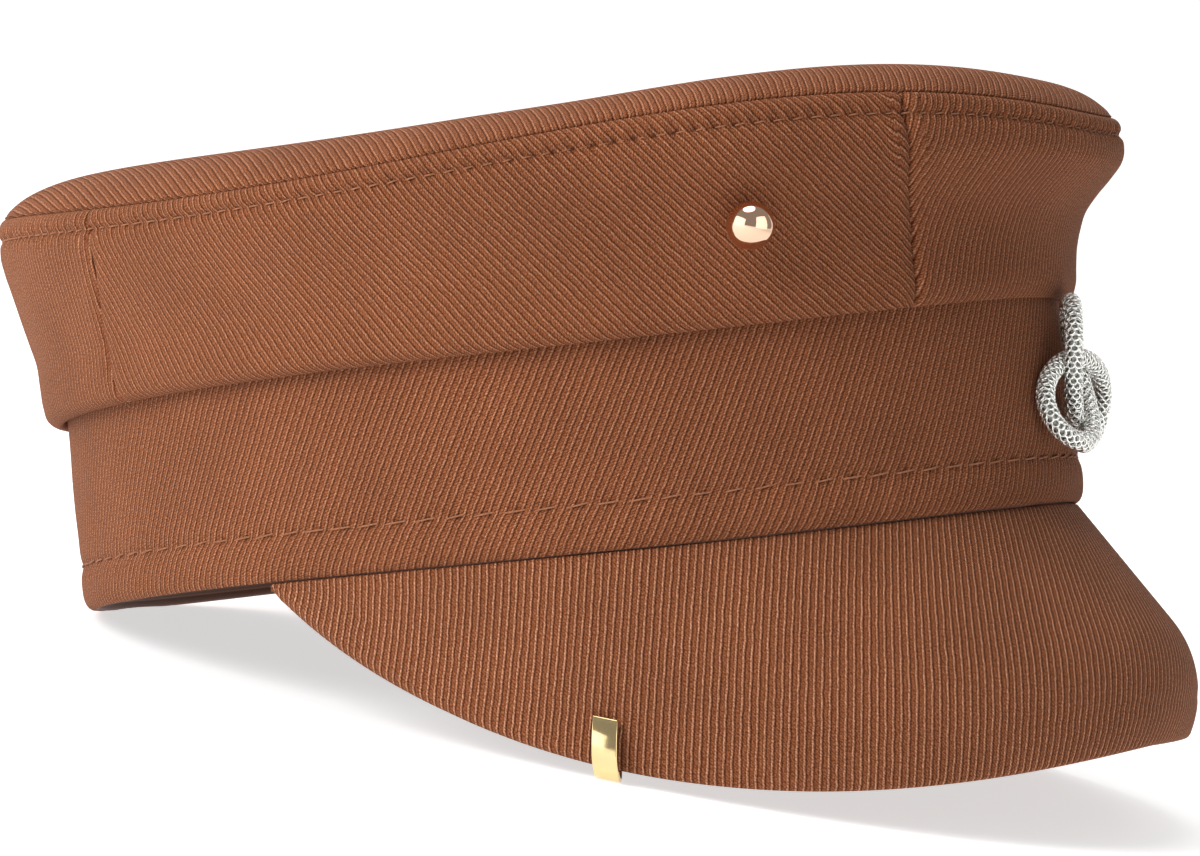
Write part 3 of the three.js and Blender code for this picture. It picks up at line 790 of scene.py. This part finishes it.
# %% Band
BAND_ROWS = [
    (0, 0.1, -1.75),
    (0, 0, -1.3),
    (0.006, 0, -0.8),
    (0.02, 0, -0.3),
    (0.04, 0, 0.05),
    (0.075, 0, 0.35),
    (0.125, 0, 0.42),
    (0.18, 0, 0.28),
    (0.232, 0, -0.1),
    (0.285, 0, 0.12),
    (0.45, 0, 0.2),
    (0.7, 0, 0.1),
    (1, 0, 0),
    (1, 3.3, 0),
]
BAND_ROWS = np.array(BAND_ROWS)[:, [0, 1, 2, 2, 2]]
BAND_STITCH_UP = 8.7
BAND_LEAN = -27.5
BAND_LAYERS = 58
BAND_STEPS = 640
MEAN_RADIUS = 93
BAND_INSIDE = -2.55
HEM_INSIDE = (-1.95, -2.15)


def band_cloth():
    t = whole_turn(BAND_STEPS)
    rows = spread_rows(BAND_ROWS, BAND_LAYERS, FOLD_UP)[None]
    share, extra, out = rows[..., 0], rows[..., 1], rows[..., 2:]
    rise = fold_up(t) - rim_up(t)
    up = rim_up(t) + rise * share + extra
    walked = round_distance(t, RIM)
    stitch_line = up - rim_up(t) - BAND_STITCH_UP
    beat = np.cos(2 * np.pi * walked / BAND_STITCH)
    pull = 0.36 * bell(stitch_line, 0.8) * (0.6 + 0.4 * beat)
    pucker = (0.10 * bell(stitch_line + 2.6, 2.0) + 0.06 * bell(stitch_line - 2.6, 2.0)) * beat
    from_back = np.pi * MEAN_RADIUS * (1 - np.abs(walked) / np.abs(walked).max())
    joint = 0.8 * np.exp(-from_back / 0.7)
    shape = unevenness(t, np.clip(share, 0, 1), 2.0) * 0.7 - pull - pucker - joint
    outside = at(t + 0 * share, out + shape[..., None], up)
    inner_out = np.full(out.shape, BAND_INSIDE)
    inner_out[:, : len(HEM_INSIDE)] = np.array(HEM_INSIDE)[:, None]
    inside = at(t + 0 * share, inner_out + 0 * shape[..., None], np.maximum(up, rim_up(t) + 0.1))
    seam = at(np.full((1, BAND_LAYERS), math.pi), out + shape[:1, :, None], up[:1])
    weave = weave_place(np.concatenate([outside, seam]), BAND_LEAN, 20)
    full = np.concatenate([walked, [[walked.max() + (walked[1, 0] - walked[0, 0])]]])
    lines = np.concatenate([stitch_line, stitch_line[:1]])
    holes = np.stack([full / BAND_STITCH + 0 * lines, lines], axis=-1)
    slots, marks = [whipcord_band, lining], {"stitching": holes}
    return cloth("band_cloth", outside, inside, weave, True, slots, pressed=True, marks=marks)


band = band_cloth()
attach(band, "root")
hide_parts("band")

# %% [markdown]
# ## Sweatband
# A ribbed ribbon inside the band, hanging free of it at the top. It shows from below.

# %% Sweatband
def sweatband_ribbon():
    t = whole_turn(240)
    share = np.linspace(0, 1, 22)[None]
    up = rim_up(t) + 1.6 + share * 29.4
    half = 0.42 - 0.4 * (0.35 * bell(share - 1, 0.05) + 0.25 * bell(share, 0.05))
    middle = 0.12 * np.sin(9 * t) * share - 3.45
    outside, inside = [
        at(t + 0 * share, (middle + side * half)[..., None] + np.zeros(3), up) for side in (1, -1)
    ]
    weave = weave_place(np.concatenate([outside, outside[:1]]), 0.0)
    return cloth("sweatband_ribbon", outside, inside, weave, True, [sweat_ribbon, sweat_ribbon])


ribbon = sweatband_ribbon()
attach(ribbon, "root")
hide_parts("sweatband")

# %% [markdown]
# ## The peak
# The peak is a crescent of stiff board covered in whipcord. It leaves the rim steeply, more so
# at the sides, and its edge curls down. Board bends in one direction only, so each line from the
# rim to the edge is drawn as a short walk outwards and down whose slope grows near the edge. The
# board's edge is half round, and the underside is the same cloth.

# %% Peak
PEAK_REACH = math.radians(110)
PEAK_LENGTH = 53.4
PEAK_THICK = 3.2
PEAK_FAN = 0.57
PEAK_TUCK = 1.0
CURL_FROM = 0.54
PEAK_ROWS = 52
EDGE_ROWS = 9


def peak_length(t):
    share = np.minimum(np.abs(t) / PEAK_REACH, 1)
    return np.maximum(PEAK_LENGTH * (1 - share**3.1) ** 0.9, 0.9)


def peak_slope(t, share):
    blend = (1 - np.cos(np.pi * np.minimum(np.abs(t) / PEAK_REACH / 0.8, 1))) / 2
    curl = (66 - 56 * blend) * np.maximum(0, share - CURL_FROM) / (1 - CURL_FROM)
    return np.radians(56 + 24.5 * blend + curl)


def peak_heading(t):
    long = np.where(np.cos(t) > 0, RIM[0], RIM[2])
    normal = np.arctan2(np.sin(t) / RIM[1], np.cos(t) / long) * PEAK_FAN
    return np.stack([-np.sin(normal), -np.cos(normal)], axis=-1)


def peak_face(t, share, pieces=32):
    """Upper face, its outward direction and its way down, at angle t and share of the length."""
    t, share = np.broadcast_arrays(t, share)
    run, drop = np.zeros(t.shape), np.zeros(t.shape)
    for i in range(pieces):
        slope = peak_slope(t, share * (i + 0.5) / pieces)
        run += np.cos(slope) * peak_length(t) * share / pieces
        drop += np.sin(slope) * peak_length(t) * share / pieces
    ahead = peak_heading(t)
    plan = egg(t, RIM - PEAK_TUCK + np.zeros(t.shape + (3,))) + ahead * run[..., None]
    slope = peak_slope(t, share)
    point = raised(plan, rim_up(t) - 0.4 - drop)
    outward = raised(ahead * np.sin(slope)[..., None], np.cos(slope))
    down = raised(ahead * np.cos(slope)[..., None], -np.sin(slope))
    return point, outward, down


def peak_cloth():
    t = angles(-110, 110, 0.62, (0.1, 0.25, 0.45))[:, None]
    radius = np.minimum(PEAK_THICK / 2, 0.45 * peak_length(t) + 0.35)
    straight = 1 - radius / np.maximum(peak_length(t), 2 * radius)
    share = np.linspace(0, 1, PEAK_ROWS)[None] * straight
    point, outward, down = peak_face(t, share)
    crease = 0.16 * bell((1 - share) * peak_length(t) - 9.0, 1.1)
    swell = (0.25 + 0.1 * np.sin(9 * t + 2 * share)) * np.sin(np.pi * share)
    upper = point + outward * (swell - crease)[..., None]
    lower = point - outward * (2 * radius)[..., None]
    lower[..., 2] = np.minimum(lower[..., 2], (rim_up(t) - 0.5))

    # the half round edge, in one quarter turn above and one below
    turn = np.linspace(0, math.pi / 2, EDGE_ROWS)[1:-1][None, :, None]
    bend = radius[..., None]
    centre = point[:, -1:] - outward[:, -1:] * bend
    over = bend * outward[:, -1:] * np.cos(turn)
    down_edge = bend * down[:, -1:] * np.sin(turn)
    tucked = []
    for inwards, drop in ((3.2, 0.0), (1.6, 0.0), (0.5, 0.1)):
        plan = egg(t, RIM - PEAK_TUCK - inwards + np.zeros(t.shape + (3,)))
        tucked.append(raised(plan, rim_up(t) - 0.12 - drop))
    low_tucked = [p - np.array([0, 0, 0.7]) for p in tucked]
    outside = np.concatenate([*tucked, upper, centre + over + down_edge], axis=1)
    inside = np.concatenate([*low_tucked, lower, centre - over + down_edge], axis=1)
    at_rim, at_edge = np.zeros((len(t), len(tucked))), np.ones((len(t), turn.size))
    along_length = np.concatenate([at_rim, share, at_edge], axis=1)
    lean = 35.0 - 0.38 * np.degrees(t) - 16.0 * along_length
    weave = weave_place(outside, lean, 12)
    slots = [whipcord_peak_lit, whipcord_peak_lit]
    made = cloth("peak_cloth", outside, inside, weave, False, slots, pressed=True)

    # its rows run down, not up, so the faces are turned over to look outwards
    return edited(made, lambda shell: bmesh.ops.reverse_faces(shell, faces=shell.faces))


peak = peak_cloth()
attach(peak, "root")
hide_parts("peak")

# %% [markdown]
# ## Rows of stitches
# A topstitch is a short bow of thread that dives into the cloth at both ends. Hundreds of them
# follow a line, which is what Geometry Nodes are for: the line is resampled at the stitch length,
# and one bow, made in the same tree, is set on each point, lying along the line and facing out.

# %% Stitching tree
def named_tree(name, base, sizes, counts, materials):
    """An empty Geometry Nodes tree with named inputs, with those inputs and its result socket."""
    tree = bpy.data.node_groups.new(name, "GeometryNodeTree")
    face = tree.interface
    face.new_socket("Geometry", in_out="OUTPUT", socket_type="NodeSocketGeometry")
    wanted = [(base, "Geometry", None)]
    wanted += [(label, "Float", value) for label, value in sizes.items()]
    wanted += [(label, "Int", value) for label, value in counts.items()]
    wanted += [(label, "Material", None) for label in materials]
    for label, kind, value in wanted:
        socket = face.new_socket(label, in_out="INPUT", socket_type="NodeSocket" + kind)
        if value is not None:
            socket.default_value = value
    given = tree.nodes.new("NodeGroupInput").outputs
    return tree, given, tree.nodes.new("NodeGroupOutput").inputs[0]


ALIGN = "FunctionNodeAlignRotationToVector"


def circle(tree, radius, corners):
    inputs = {"Resolution": corners, "Radius": radius}
    return wired(tree, "GeometryNodeCurvePrimitiveCircle", inputs)


def swept(tree, path, profile, caps=False):
    inputs = {"Curve": path, "Profile Curve": profile, "Fill Caps": caps}
    return wired(tree, "GeometryNodeCurveToMesh", inputs)


def smoothed(tree, geometry):
    return wired(tree, "GeometryNodeSetShadeSmooth", {"Geometry": geometry})


def stepped(tree, curve, length):
    inputs = {"Curve": curve, "Length": length}
    return wired(tree, "GeometryNodeResampleCurve", inputs, mode="LENGTH")


def uneven(tree, given):
    """A random number for each point, between minus and plus the given unevenness."""
    reach = given["Unevenness"]
    limits = {2: math_node(tree, "MULTIPLY", reach, -1.0), 3: reach, "Seed": given["Seed"]}
    return wired(tree, "FunctionNodeRandomValue", limits, 1, data_type="FLOAT")


def turned(tree, rotation, **turn):
    """The rotation with a turn about its own X, Y or Z axis added."""
    turn = wired(tree, "ShaderNodeCombineXYZ", turn)
    inputs = {"Rotation": rotation, "Rotate By": wired(tree, "FunctionNodeEulerToRotation", {0: turn})}
    return wired(tree, "FunctionNodeRotateRotation", inputs, rotation_space="LOCAL")


def set_on(tree, points, instance, rotation):
    inputs = {"Points": points, "Instance": instance, "Rotation": rotation}
    instances = wired(tree, "GeometryNodeInstanceOnPoints", inputs)
    return wired(tree, "GeometryNodeRealizeInstances", {0: instances})


def dressed(tree, geometry, material):
    return wired(tree, "GeometryNodeSetMaterial", {"Geometry": geometry, "Material": material})


def stitching_tree():
    sizes = {"Spacing": 0.0036, "Stitch length": 0.0025, "Thread": 0.0002, "Bow": 0.0002}
    sizes.update({"Slant": 0.1, "Unevenness": 0.07})
    tree, given, result = named_tree("row_of_stitches", "Line", sizes, {"Seed": 7}, ["Material"])
    add = partial(wired, tree)

    def bow_point(along, up):
        x = math_node(tree, "MULTIPLY", given["Stitch length"], along)
        return add("ShaderNodeCombineXYZ", {"X": x, "Z": math_node(tree, "MULTIPLY", given["Bow"], up)})

    # one bow of thread
    bow = {"Resolution": 5, "Start": bow_point(-0.5, -1.0), "End": bow_point(0.5, -1.0)}
    bow = add("GeometryNodeCurveQuadraticBezier", {**bow, "Middle": bow_point(0.0, 1.6)})
    thread_bow = smoothed(tree, swept(tree, bow, circle(tree, given["Thread"], 6), True))

    # one bow on each step of the line, lying along it and facing out, a little askew
    line = add("GeometryNodeMeshToCurve", {"Mesh": given["Line"]})
    outward = add("GeometryNodeInputNamedAttribute", {"Name": "outward"}, data_type="FLOAT_VECTOR")
    lie = add(ALIGN, {"Vector": add("GeometryNodeInputTangent")}, axis="X")
    face_out = add(ALIGN, {"Rotation": lie, "Vector": outward}, axis="Z", pivot_axis="X")
    askew = turned(tree, face_out, Z=math_node(tree, "ADD", uneven(tree, given), given["Slant"]))
    sewn = set_on(tree, stepped(tree, line, given["Spacing"]), thread_bow, askew)
    tree.links.new(dressed(tree, sewn, given["Material"]), result)
    return tree


def run_tree(name, tree, base, inputs):
    """Runs a Geometry Nodes tree on a base object and keeps the result as a plain mesh piece."""
    modifier = base.modifiers.new(tree.name, "NODES")
    modifier.node_group = tree
    for item in tree.interface.items_tree:
        if item.item_type == "SOCKET" and item.in_out == "INPUT" and item.name in inputs:
            modifier[item.identifier] = inputs[item.name]
    evaluated = base.evaluated_get(bpy.context.evaluated_depsgraph_get())
    mesh = bpy.data.meshes.new_from_object(evaluated)
    mesh.name = name
    bpy.data.objects.remove(base)
    print(f"{name}: {len(mesh.polygons)} faces")
    return placed(name, mesh)


def stitch_line(name, points, outward):
    """A thin line on the table frame that carries which way is outwards."""
    mesh = bpy.data.meshes.new(name)
    edges = [(i, i + 1) for i in range(len(points) - 1)]
    mesh.from_pydata([tuple(p) for p in points], edges, [])
    carried = mesh.attributes.new("outward", "FLOAT_VECTOR", "POINT")
    carried.data.foreach_set("vector", np.asarray(outward, dtype=np.float32).reshape(-1))
    return placed(name, mesh)


# %% [markdown]
# Two rows are seen: a long even stitch round the band and a shorter one below the top seam.
# Each starts half a stitch past a needle hole, so that every bow lies between two holes.

# %% Sew the two rows
stitches = stitching_tree()


def even_angles(reach, spacing):
    """Angles at which the egg has been walked in eighths of a stitch, from half a stitch on."""
    fine = np.linspace(-math.pi, math.pi, 7201)
    walked = round_distance(fine, reach)
    first, last = math.ceil(walked[0] / spacing), math.floor(walked[-1] / spacing)
    wanted = (np.arange(first, last, 1 / 8) + 0.5) * spacing
    wanted = wanted[(wanted > walked[0]) & (wanted < walked[-1])]
    print("row of", round((walked[-1] - walked[0]) / spacing), "stitches")
    return np.interp(wanted, walked, fine)


def sewn_row(name, reach, spacing, out, up_of, stitch, thread_radius, bow, cotton):
    t = even_angles(reach, spacing)
    points = on_table(at(t, out + np.zeros((len(t), 3)), up_of(t)))
    outward = unit(np.cross(TURN @ np.array([0.0, 0.0, 1.0]), np.gradient(points, axis=0)))
    line = stitch_line(name + "_line", points, outward)
    sizes = {"Spacing": spacing * 0.99993, "Stitch length": stitch, "Thread": thread_radius, "Bow": bow}
    settings = {label: size / METRE for label, size in sizes.items()}
    return run_tree(name, stitches, line, {**settings, "Material": cotton})


def band_stitch_up(t):
    return rim_up(t) + BAND_STITCH_UP


band_line = [RIM, BAND_STITCH, -0.1, band_stitch_up]
rim_line = [RIM + SEAM_OUT, RIM_STITCH, STITCH_OUT - 0.2, partial(wall_up, share=STITCH_SHARE)]
band_row = sewn_row("band_stitches", *band_line, 4.1, 0.17, 0.26, thread)
rim_row = sewn_row("top_stitches", *rim_line, 2.3, 0.16, 0.3, rim_thread)
for row in (band_row, rim_row):
    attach(row, "root")

# %% [markdown]
# ## Ball stud
# A polished ball on a short post, with a small flange against the cloth. Turned work is drawn
# as one profile spun round its axis.

# %% Ball stud
STUD_ROUND = math.radians(53.1)
STUD_SHARE = 0.475
BALL = 4.4


def wall_point(t, share):
    rows = CROWN_ROWS[4:20]
    out = smooth(rows[:, 0], rows[:, 2:], np.array([share]))[0]
    return at(np.array([t]), out[None], np.array([wall_up(t, share)]))[0]


def spun(name, profile, centre, axis, steps, slots):
    """A profile of (radius, along) spun round an axis; its two ends lie on the axis."""
    side = unit(np.cross(axis, [0.0, 0.0, 1.0]))
    other = np.cross(axis, side)
    turn = np.linspace(0, 2 * math.pi, steps, endpoint=False)[:, None]
    spoke = side * np.cos(turn) + other * np.sin(turn)
    rings = np.array([centre + axis * along + radius * spoke for radius, along in profile[1:-1]])
    tips = [centre + axis * profile[end][1] for end in (0, -1)]
    return tube(name, rings, slots, tips)


seat = wall_point(STUD_ROUND, STUD_SHARE)
round_way = wall_point(STUD_ROUND + 0.01, STUD_SHARE) - wall_point(STUD_ROUND - 0.01, STUD_SHARE)
up_way = wall_point(STUD_ROUND, STUD_SHARE + 0.02) - wall_point(STUD_ROUND, STUD_SHARE - 0.02)
stud_axis = unit(np.cross(up_way, round_way))
flange = [(0.0, -0.5), (1.9, -0.5), (2.05, -0.1), (2.0, 0.12), (1.5, 0.3), (1.1, 0.45)]
ball = [
    (BALL * math.sin(a), 0.6 + BALL - BALL * math.cos(a))
    for a in np.linspace(math.asin(1.1 / BALL), math.pi, 26)
]
ball[-1] = (0.0, ball[-1][1])
stud = spun("ball_stud_polished", flange + ball, seat, stud_axis, 48, [rose_gold])
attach(stud, "root")
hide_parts("ball_stud")
print("ball", round(2 * BALL, 1), "mm across")

# %% [markdown]
# ## Cuff on the peak
# A strip of thin metal bent round the peak's edge. Its path follows the board's own outline and
# stands a little off the cloth. Its section is flat with softened edges, so highlights run along
# them.

# %% Cuff
CUFF_ROUND = math.radians(74)
CUFF_WIDTH = 4.5
CUFF_WALL = 0.8
CUFF_OUTSIDE = 6.8
CUFF_INSIDE = 6.5
CUFF_LEAN = 0.0012
CUFF_TWIST = math.radians(8)
CUFF_SKEW = 0.55
STAND_END, STAND_MOST, STAND_EDGE, STAND_INSIDE = 0.7, 2.6, 1.4, 1.3
RISEN = 0.8
CUFF_SOFT = 0.22


def flat_section(width, wall, soft):
    """Outline of a flat strip whose four edges are softened by a small radius."""
    far, near, high = width / 2 - soft, soft - width / 2, wall - soft
    outline = []
    for x, y, start in ((far, soft, -90), (far, high, 0), (near, high, 90), (near, soft, 180)):
        bend = np.radians(np.linspace(start, start + 90, 5))
        outline.append(np.stack([x + soft * np.cos(bend), y + soft * np.sin(bend)], axis=-1))
    return np.concatenate(outline)


def cuff_strip():
    length = float(peak_length(CUFF_ROUND))
    radius = PEAK_THICK / 2
    straight = length - radius

    def station(back):
        t = CUFF_ROUND - CUFF_LEAN * back
        found = peak_face(np.array(t), np.array((straight - back) / float(peak_length(t))))
        return [np.asarray(v, dtype=float).reshape(3) for v in found]

    ahead, behind = [
        peak_face(np.array(CUFF_ROUND + step), np.array(straight / length))[0] for step in (0.02, -0.02)
    ]
    tangent = unit((ahead - behind).reshape(3))
    path = []
    for passed in np.linspace(0, 1, 22):
        point, outward, _ = station(CUFF_OUTSIDE * (1 - passed))
        risen = math.sin(math.pi / 2 * min(1, passed / RISEN))
        path.append((point + outward * (STAND_END + (STAND_MOST - STAND_END) * risen), outward))
    point, brim_outward, down = station(0.0)
    across = tangent * math.cos(CUFF_TWIST) - brim_outward * math.sin(CUFF_TWIST)
    centre = point - brim_outward * radius
    for turn in np.linspace(0, math.pi, 16)[1:-1]:
        away = brim_outward * math.cos(turn) + down * math.sin(turn)
        leg = STAND_MOST if turn < math.pi / 2 else STAND_INSIDE
        clear = leg + (STAND_EDGE - leg) * math.sin(turn) ** 2
        path.append((centre + away * (radius + clear), away))
    for share in np.linspace(0, 1, 12):
        point, outward, _ = station(CUFF_INSIDE * share)
        path.append((point - outward * (PEAK_THICK + STAND_INSIDE), -outward))
    places, facing = np.moveaxis(np.array(path), 1, 0)
    height = (places - centre) @ brim_outward
    places = places + tangent * (CUFF_SKEW * height)[:, None]
    away = unit(np.cross(unit(np.gradient(places, axis=0)), across))
    away = away * np.sign((away * facing).sum(1, keepdims=True))
    section = flat_section(CUFF_WIDTH, CUFF_WALL, CUFF_SOFT)
    rings = places[:, None] + across * section[None, :, :1] + away[:, None] * section[None, :, 1:]
    return tube("peak_cuff_polished", rings, [yellow_gold])


cuff = cuff_strip()
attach(cuff, "root")
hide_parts("peak_cuff")

# %% [markdown]
# ## Knot of fine chain
# The ornament is a soft cord of tiny links, bent into a knot of three loops. Up close the cord is
# rows of rings lying on a round core, every other row turned by half a ring. That repeats far too
# often to place by hand, so a second tree makes one row of links and sets it on every step of the
# knot's path, with a dark core inside that keeps the light out; its dark grey is painted shade.

# %% Chain tree
def chain_tree():
    sizes = {"Row spacing": 0.00096, "Cord radius": 0.00145, "Link radius": 0.00070}
    sizes.update({"Wire": 0.00020, "Core": 0.0011, "Tilt": 0.4, "Unevenness": 0.12})
    counts = {"Links in a row": 7, "Seed": 3}
    materials = ["Material", "Core material"]
    tree, given, result = named_tree("cord_of_links", "Path", sizes, counts, materials)
    add = partial(wired, tree)

    # one link, lying flat, then one row of links round the cord
    one_link = swept(tree, circle(tree, given["Link radius"], 9), circle(tree, given["Wire"], 5))
    outward = add(ALIGN, {"Vector": add("GeometryNodeInputPosition")}, axis="Z", pivot_axis="AUTO")
    upright = add(ALIGN, {"Rotation": outward, "Vector": (0, 0, 1)}, axis="X", pivot_axis="Z")
    around = circle(tree, given["Cord radius"], given["Links in a row"])
    row = set_on(tree, around, one_link, turned(tree, upright, Y=given["Tilt"]))

    # rows along the path, every other one turned by half a link
    steps = stepped(tree, given["Path"], given["Row spacing"])
    along = add(ALIGN, {"Vector": add("GeometryNodeInputTangent")}, axis="Z")
    normal = add("GeometryNodeInputNormal")
    across = add(ALIGN, {"Rotation": along, "Vector": normal}, axis="X", pivot_axis="Z")
    every_other = math_node(tree, "MODULO", add("GeometryNodeInputIndex"), 2.0)
    half_link = math_node(tree, "DIVIDE", math.pi, given["Links in a row"])
    spin = math_node(tree, "MULTIPLY_ADD", half_link, every_other, uneven(tree, given))
    links = set_on(tree, steps, row, turned(tree, across, Z=spin))
    core = swept(tree, steps, circle(tree, given["Core"], 10))
    both = tree.nodes.new("GeometryNodeJoinGeometry")
    for part, material in ((links, "Material"), (core, "Core material")):
        tree.links.new(dressed(tree, part, given[material]), both.inputs[0])
    tree.links.new(smoothed(tree, both.outputs[0]), result)
    return tree


# %% Tie the knot
KNOT_SIZE = 5.25
KNOT_UP = 24.2
KNOT_OUT = 4.3
KNOT_LIFT = 2.1


def knot_path(steps=240):
    a = np.linspace(0, 2 * math.pi, steps, endpoint=False)
    across = KNOT_SIZE * (np.sin(a) + 2 * np.sin(2 * a))
    up = KNOT_UP - KNOT_SIZE * (np.cos(a) - 2 * np.cos(2 * a)) - KNOT_SIZE * 0.35
    out = KNOT_OUT + KNOT_LIFT * np.sin(3 * a)
    t = -np.arcsin(across / (RIM[1] + out))
    return on_table(at(t, out[:, None] + np.zeros(3), up))


curve = bpy.data.curves.new("knot_path", "CURVE")
curve.dimensions = "3D"
spline = curve.splines.new("POLY")
route = knot_path()
spline.points.add(len(route) - 1)
spline.points.foreach_set("co", np.concatenate([route, np.ones((len(route), 1))], axis=1).reshape(-1))
spline.use_cyclic_u = True
metals = {"Material": silver, "Core material": shade_core}
knot = run_tree("chain_knot", chain_tree(), placed("knot_path", curve), metals)
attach(knot, "root")
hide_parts("chain_ornament")

# %% [markdown]
# ## Floor and light
# The cap lies on a plain pale sweep: a floor that curves up behind it, so no horizon shows. A
# large soft box stands to the left of the camera, a broad one hangs above, and the white room
# fills the rest. The front of the cap turns away from the left box and falls into soft shade.

# %% Studio
def clouded(name, scale, detail, greys, finish, into="Base Color"):
    """A faintly uneven grey surface for the things that stand round the cap."""
    material, tree, shader = new_material(name)
    cloud = noise_node(tree, object_place(tree), scale, detail)
    fill(tree, shader, {into: ramp_node(tree, cloud, list(enumerate(greys))), **finish})
    return material


def sweep_floor():
    curve = np.linspace(0.1, math.pi / 2, 16)
    profile = [(-6.0, 0.0), (2.5, 0.0)]
    profile += [(2.5 + 1.5 * math.sin(a), 1.5 - 1.5 * math.cos(a)) for a in curve]
    profile.append((4.0, 6.0))
    look = TURN @ -towards_camera
    away = unit(np.array([look[0], look[1], 0.0]))
    side = np.array([-away[1], away[0], 0.0])
    corners = [
        away * run + side * reach + np.array([0, 0, up]) for run, up in profile for reach in (-8.0, 8.0)
    ]
    faces = [(2 * i, 2 * i + 2, 2 * i + 3, 2 * i + 1) for i in range(len(profile) - 1)]
    return plain_mesh("floor", corners, faces)


floor = sweep_floor()
glow = {"Roughness": 0.9, "Specular IOR Level": 0.1}
glow.update({"Emission Color": (1.0, 1.0, 1.0, 1.0), "Emission Strength": 0.63})
floor.data.materials.append(clouded("backlit_acrylic", 3.0, 2.0, (0.70, 0.73), glow))
floor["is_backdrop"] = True


def soft_box(name, around, above, away, size, power):
    lamp = bpy.data.lights.new(name, "AREA")
    lamp.shape = "DISK"
    lamp.size = size
    lamp.energy = power
    made = placed(name, lamp)
    spot = Vector(direction(around, above)) * away
    made.location = spot + Vector((0, 0, 0.06))
    made.rotation_mode = "QUATERNION"
    made.rotation_quaternion = spot.to_track_quat("Z", "Y")
    return made


left_box = soft_box("left_box", -124, 30, 1.5, 1.0, 17)
left_box.visible_glossy = False
soft_box("top_box", -150, 75, 1.9, 1.4, 17)


def standing_card(name, material, around, away, wide, tall):
    """A card that stands on the floor, turned to the cap, and is never itself in the picture."""
    middle = direction(around, 0) * away
    side = direction(around + 90, 0) * wide / 2
    up = np.array([0.0, 0.0, tall])
    corners = [middle - side, middle + side, middle + side + up, middle - side + up]
    card = plain_mesh(name, corners, [(0, 1, 2, 3)], [material])
    card.visible_camera = False
    card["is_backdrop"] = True
    return card


black_card = clouded("black_card", 60.0, 3.0, (0.012, 0.03), {})
dark_card = standing_card("dark_card", black_card, 20, 0.55, 0.95, 0.72)
dark_card.visible_glossy = False

# two white panels that only the polished metal sees, with a dark gap between them
PANELS = [("left_panel", -128, 1.15, 0.8), ("right_panel", -18, 0.95, 1.5)]
for name, around, strength, tall in PANELS:
    finish = {"Emission Strength": strength}
    white_card = clouded(name, 2.0, 2.0, (0.9, 1.0), finish, "Emission Color")
    card = standing_card(name, white_card, around, 1.35, 1.5, tall)
    card.visible_diffuse = False
    card.visible_shadow = False
room = bpy.data.worlds.new("white_room")
bpy.context.scene.world = room
room.use_nodes = True
air = room.node_tree.nodes["Background"]
fill(room.node_tree, air, {"Color": (1.0, 1.0, 1.0, 1.0), "Strength": 0.32})
bpy.context.scene.view_settings.view_transform = "Standard"

# %% [markdown]
# ## Last measure
# The finished cap's box is measured against the imported one's. The finished cap has to fill
# the same box as the imported one, give or take a little cloth.

# %% Measure and finish
low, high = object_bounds()
wider = zip(high - low, cad_high - cad_low)
print("larger than the packed box by, in mm:", [round((a - b) * METRE, 2) for a, b in wider])
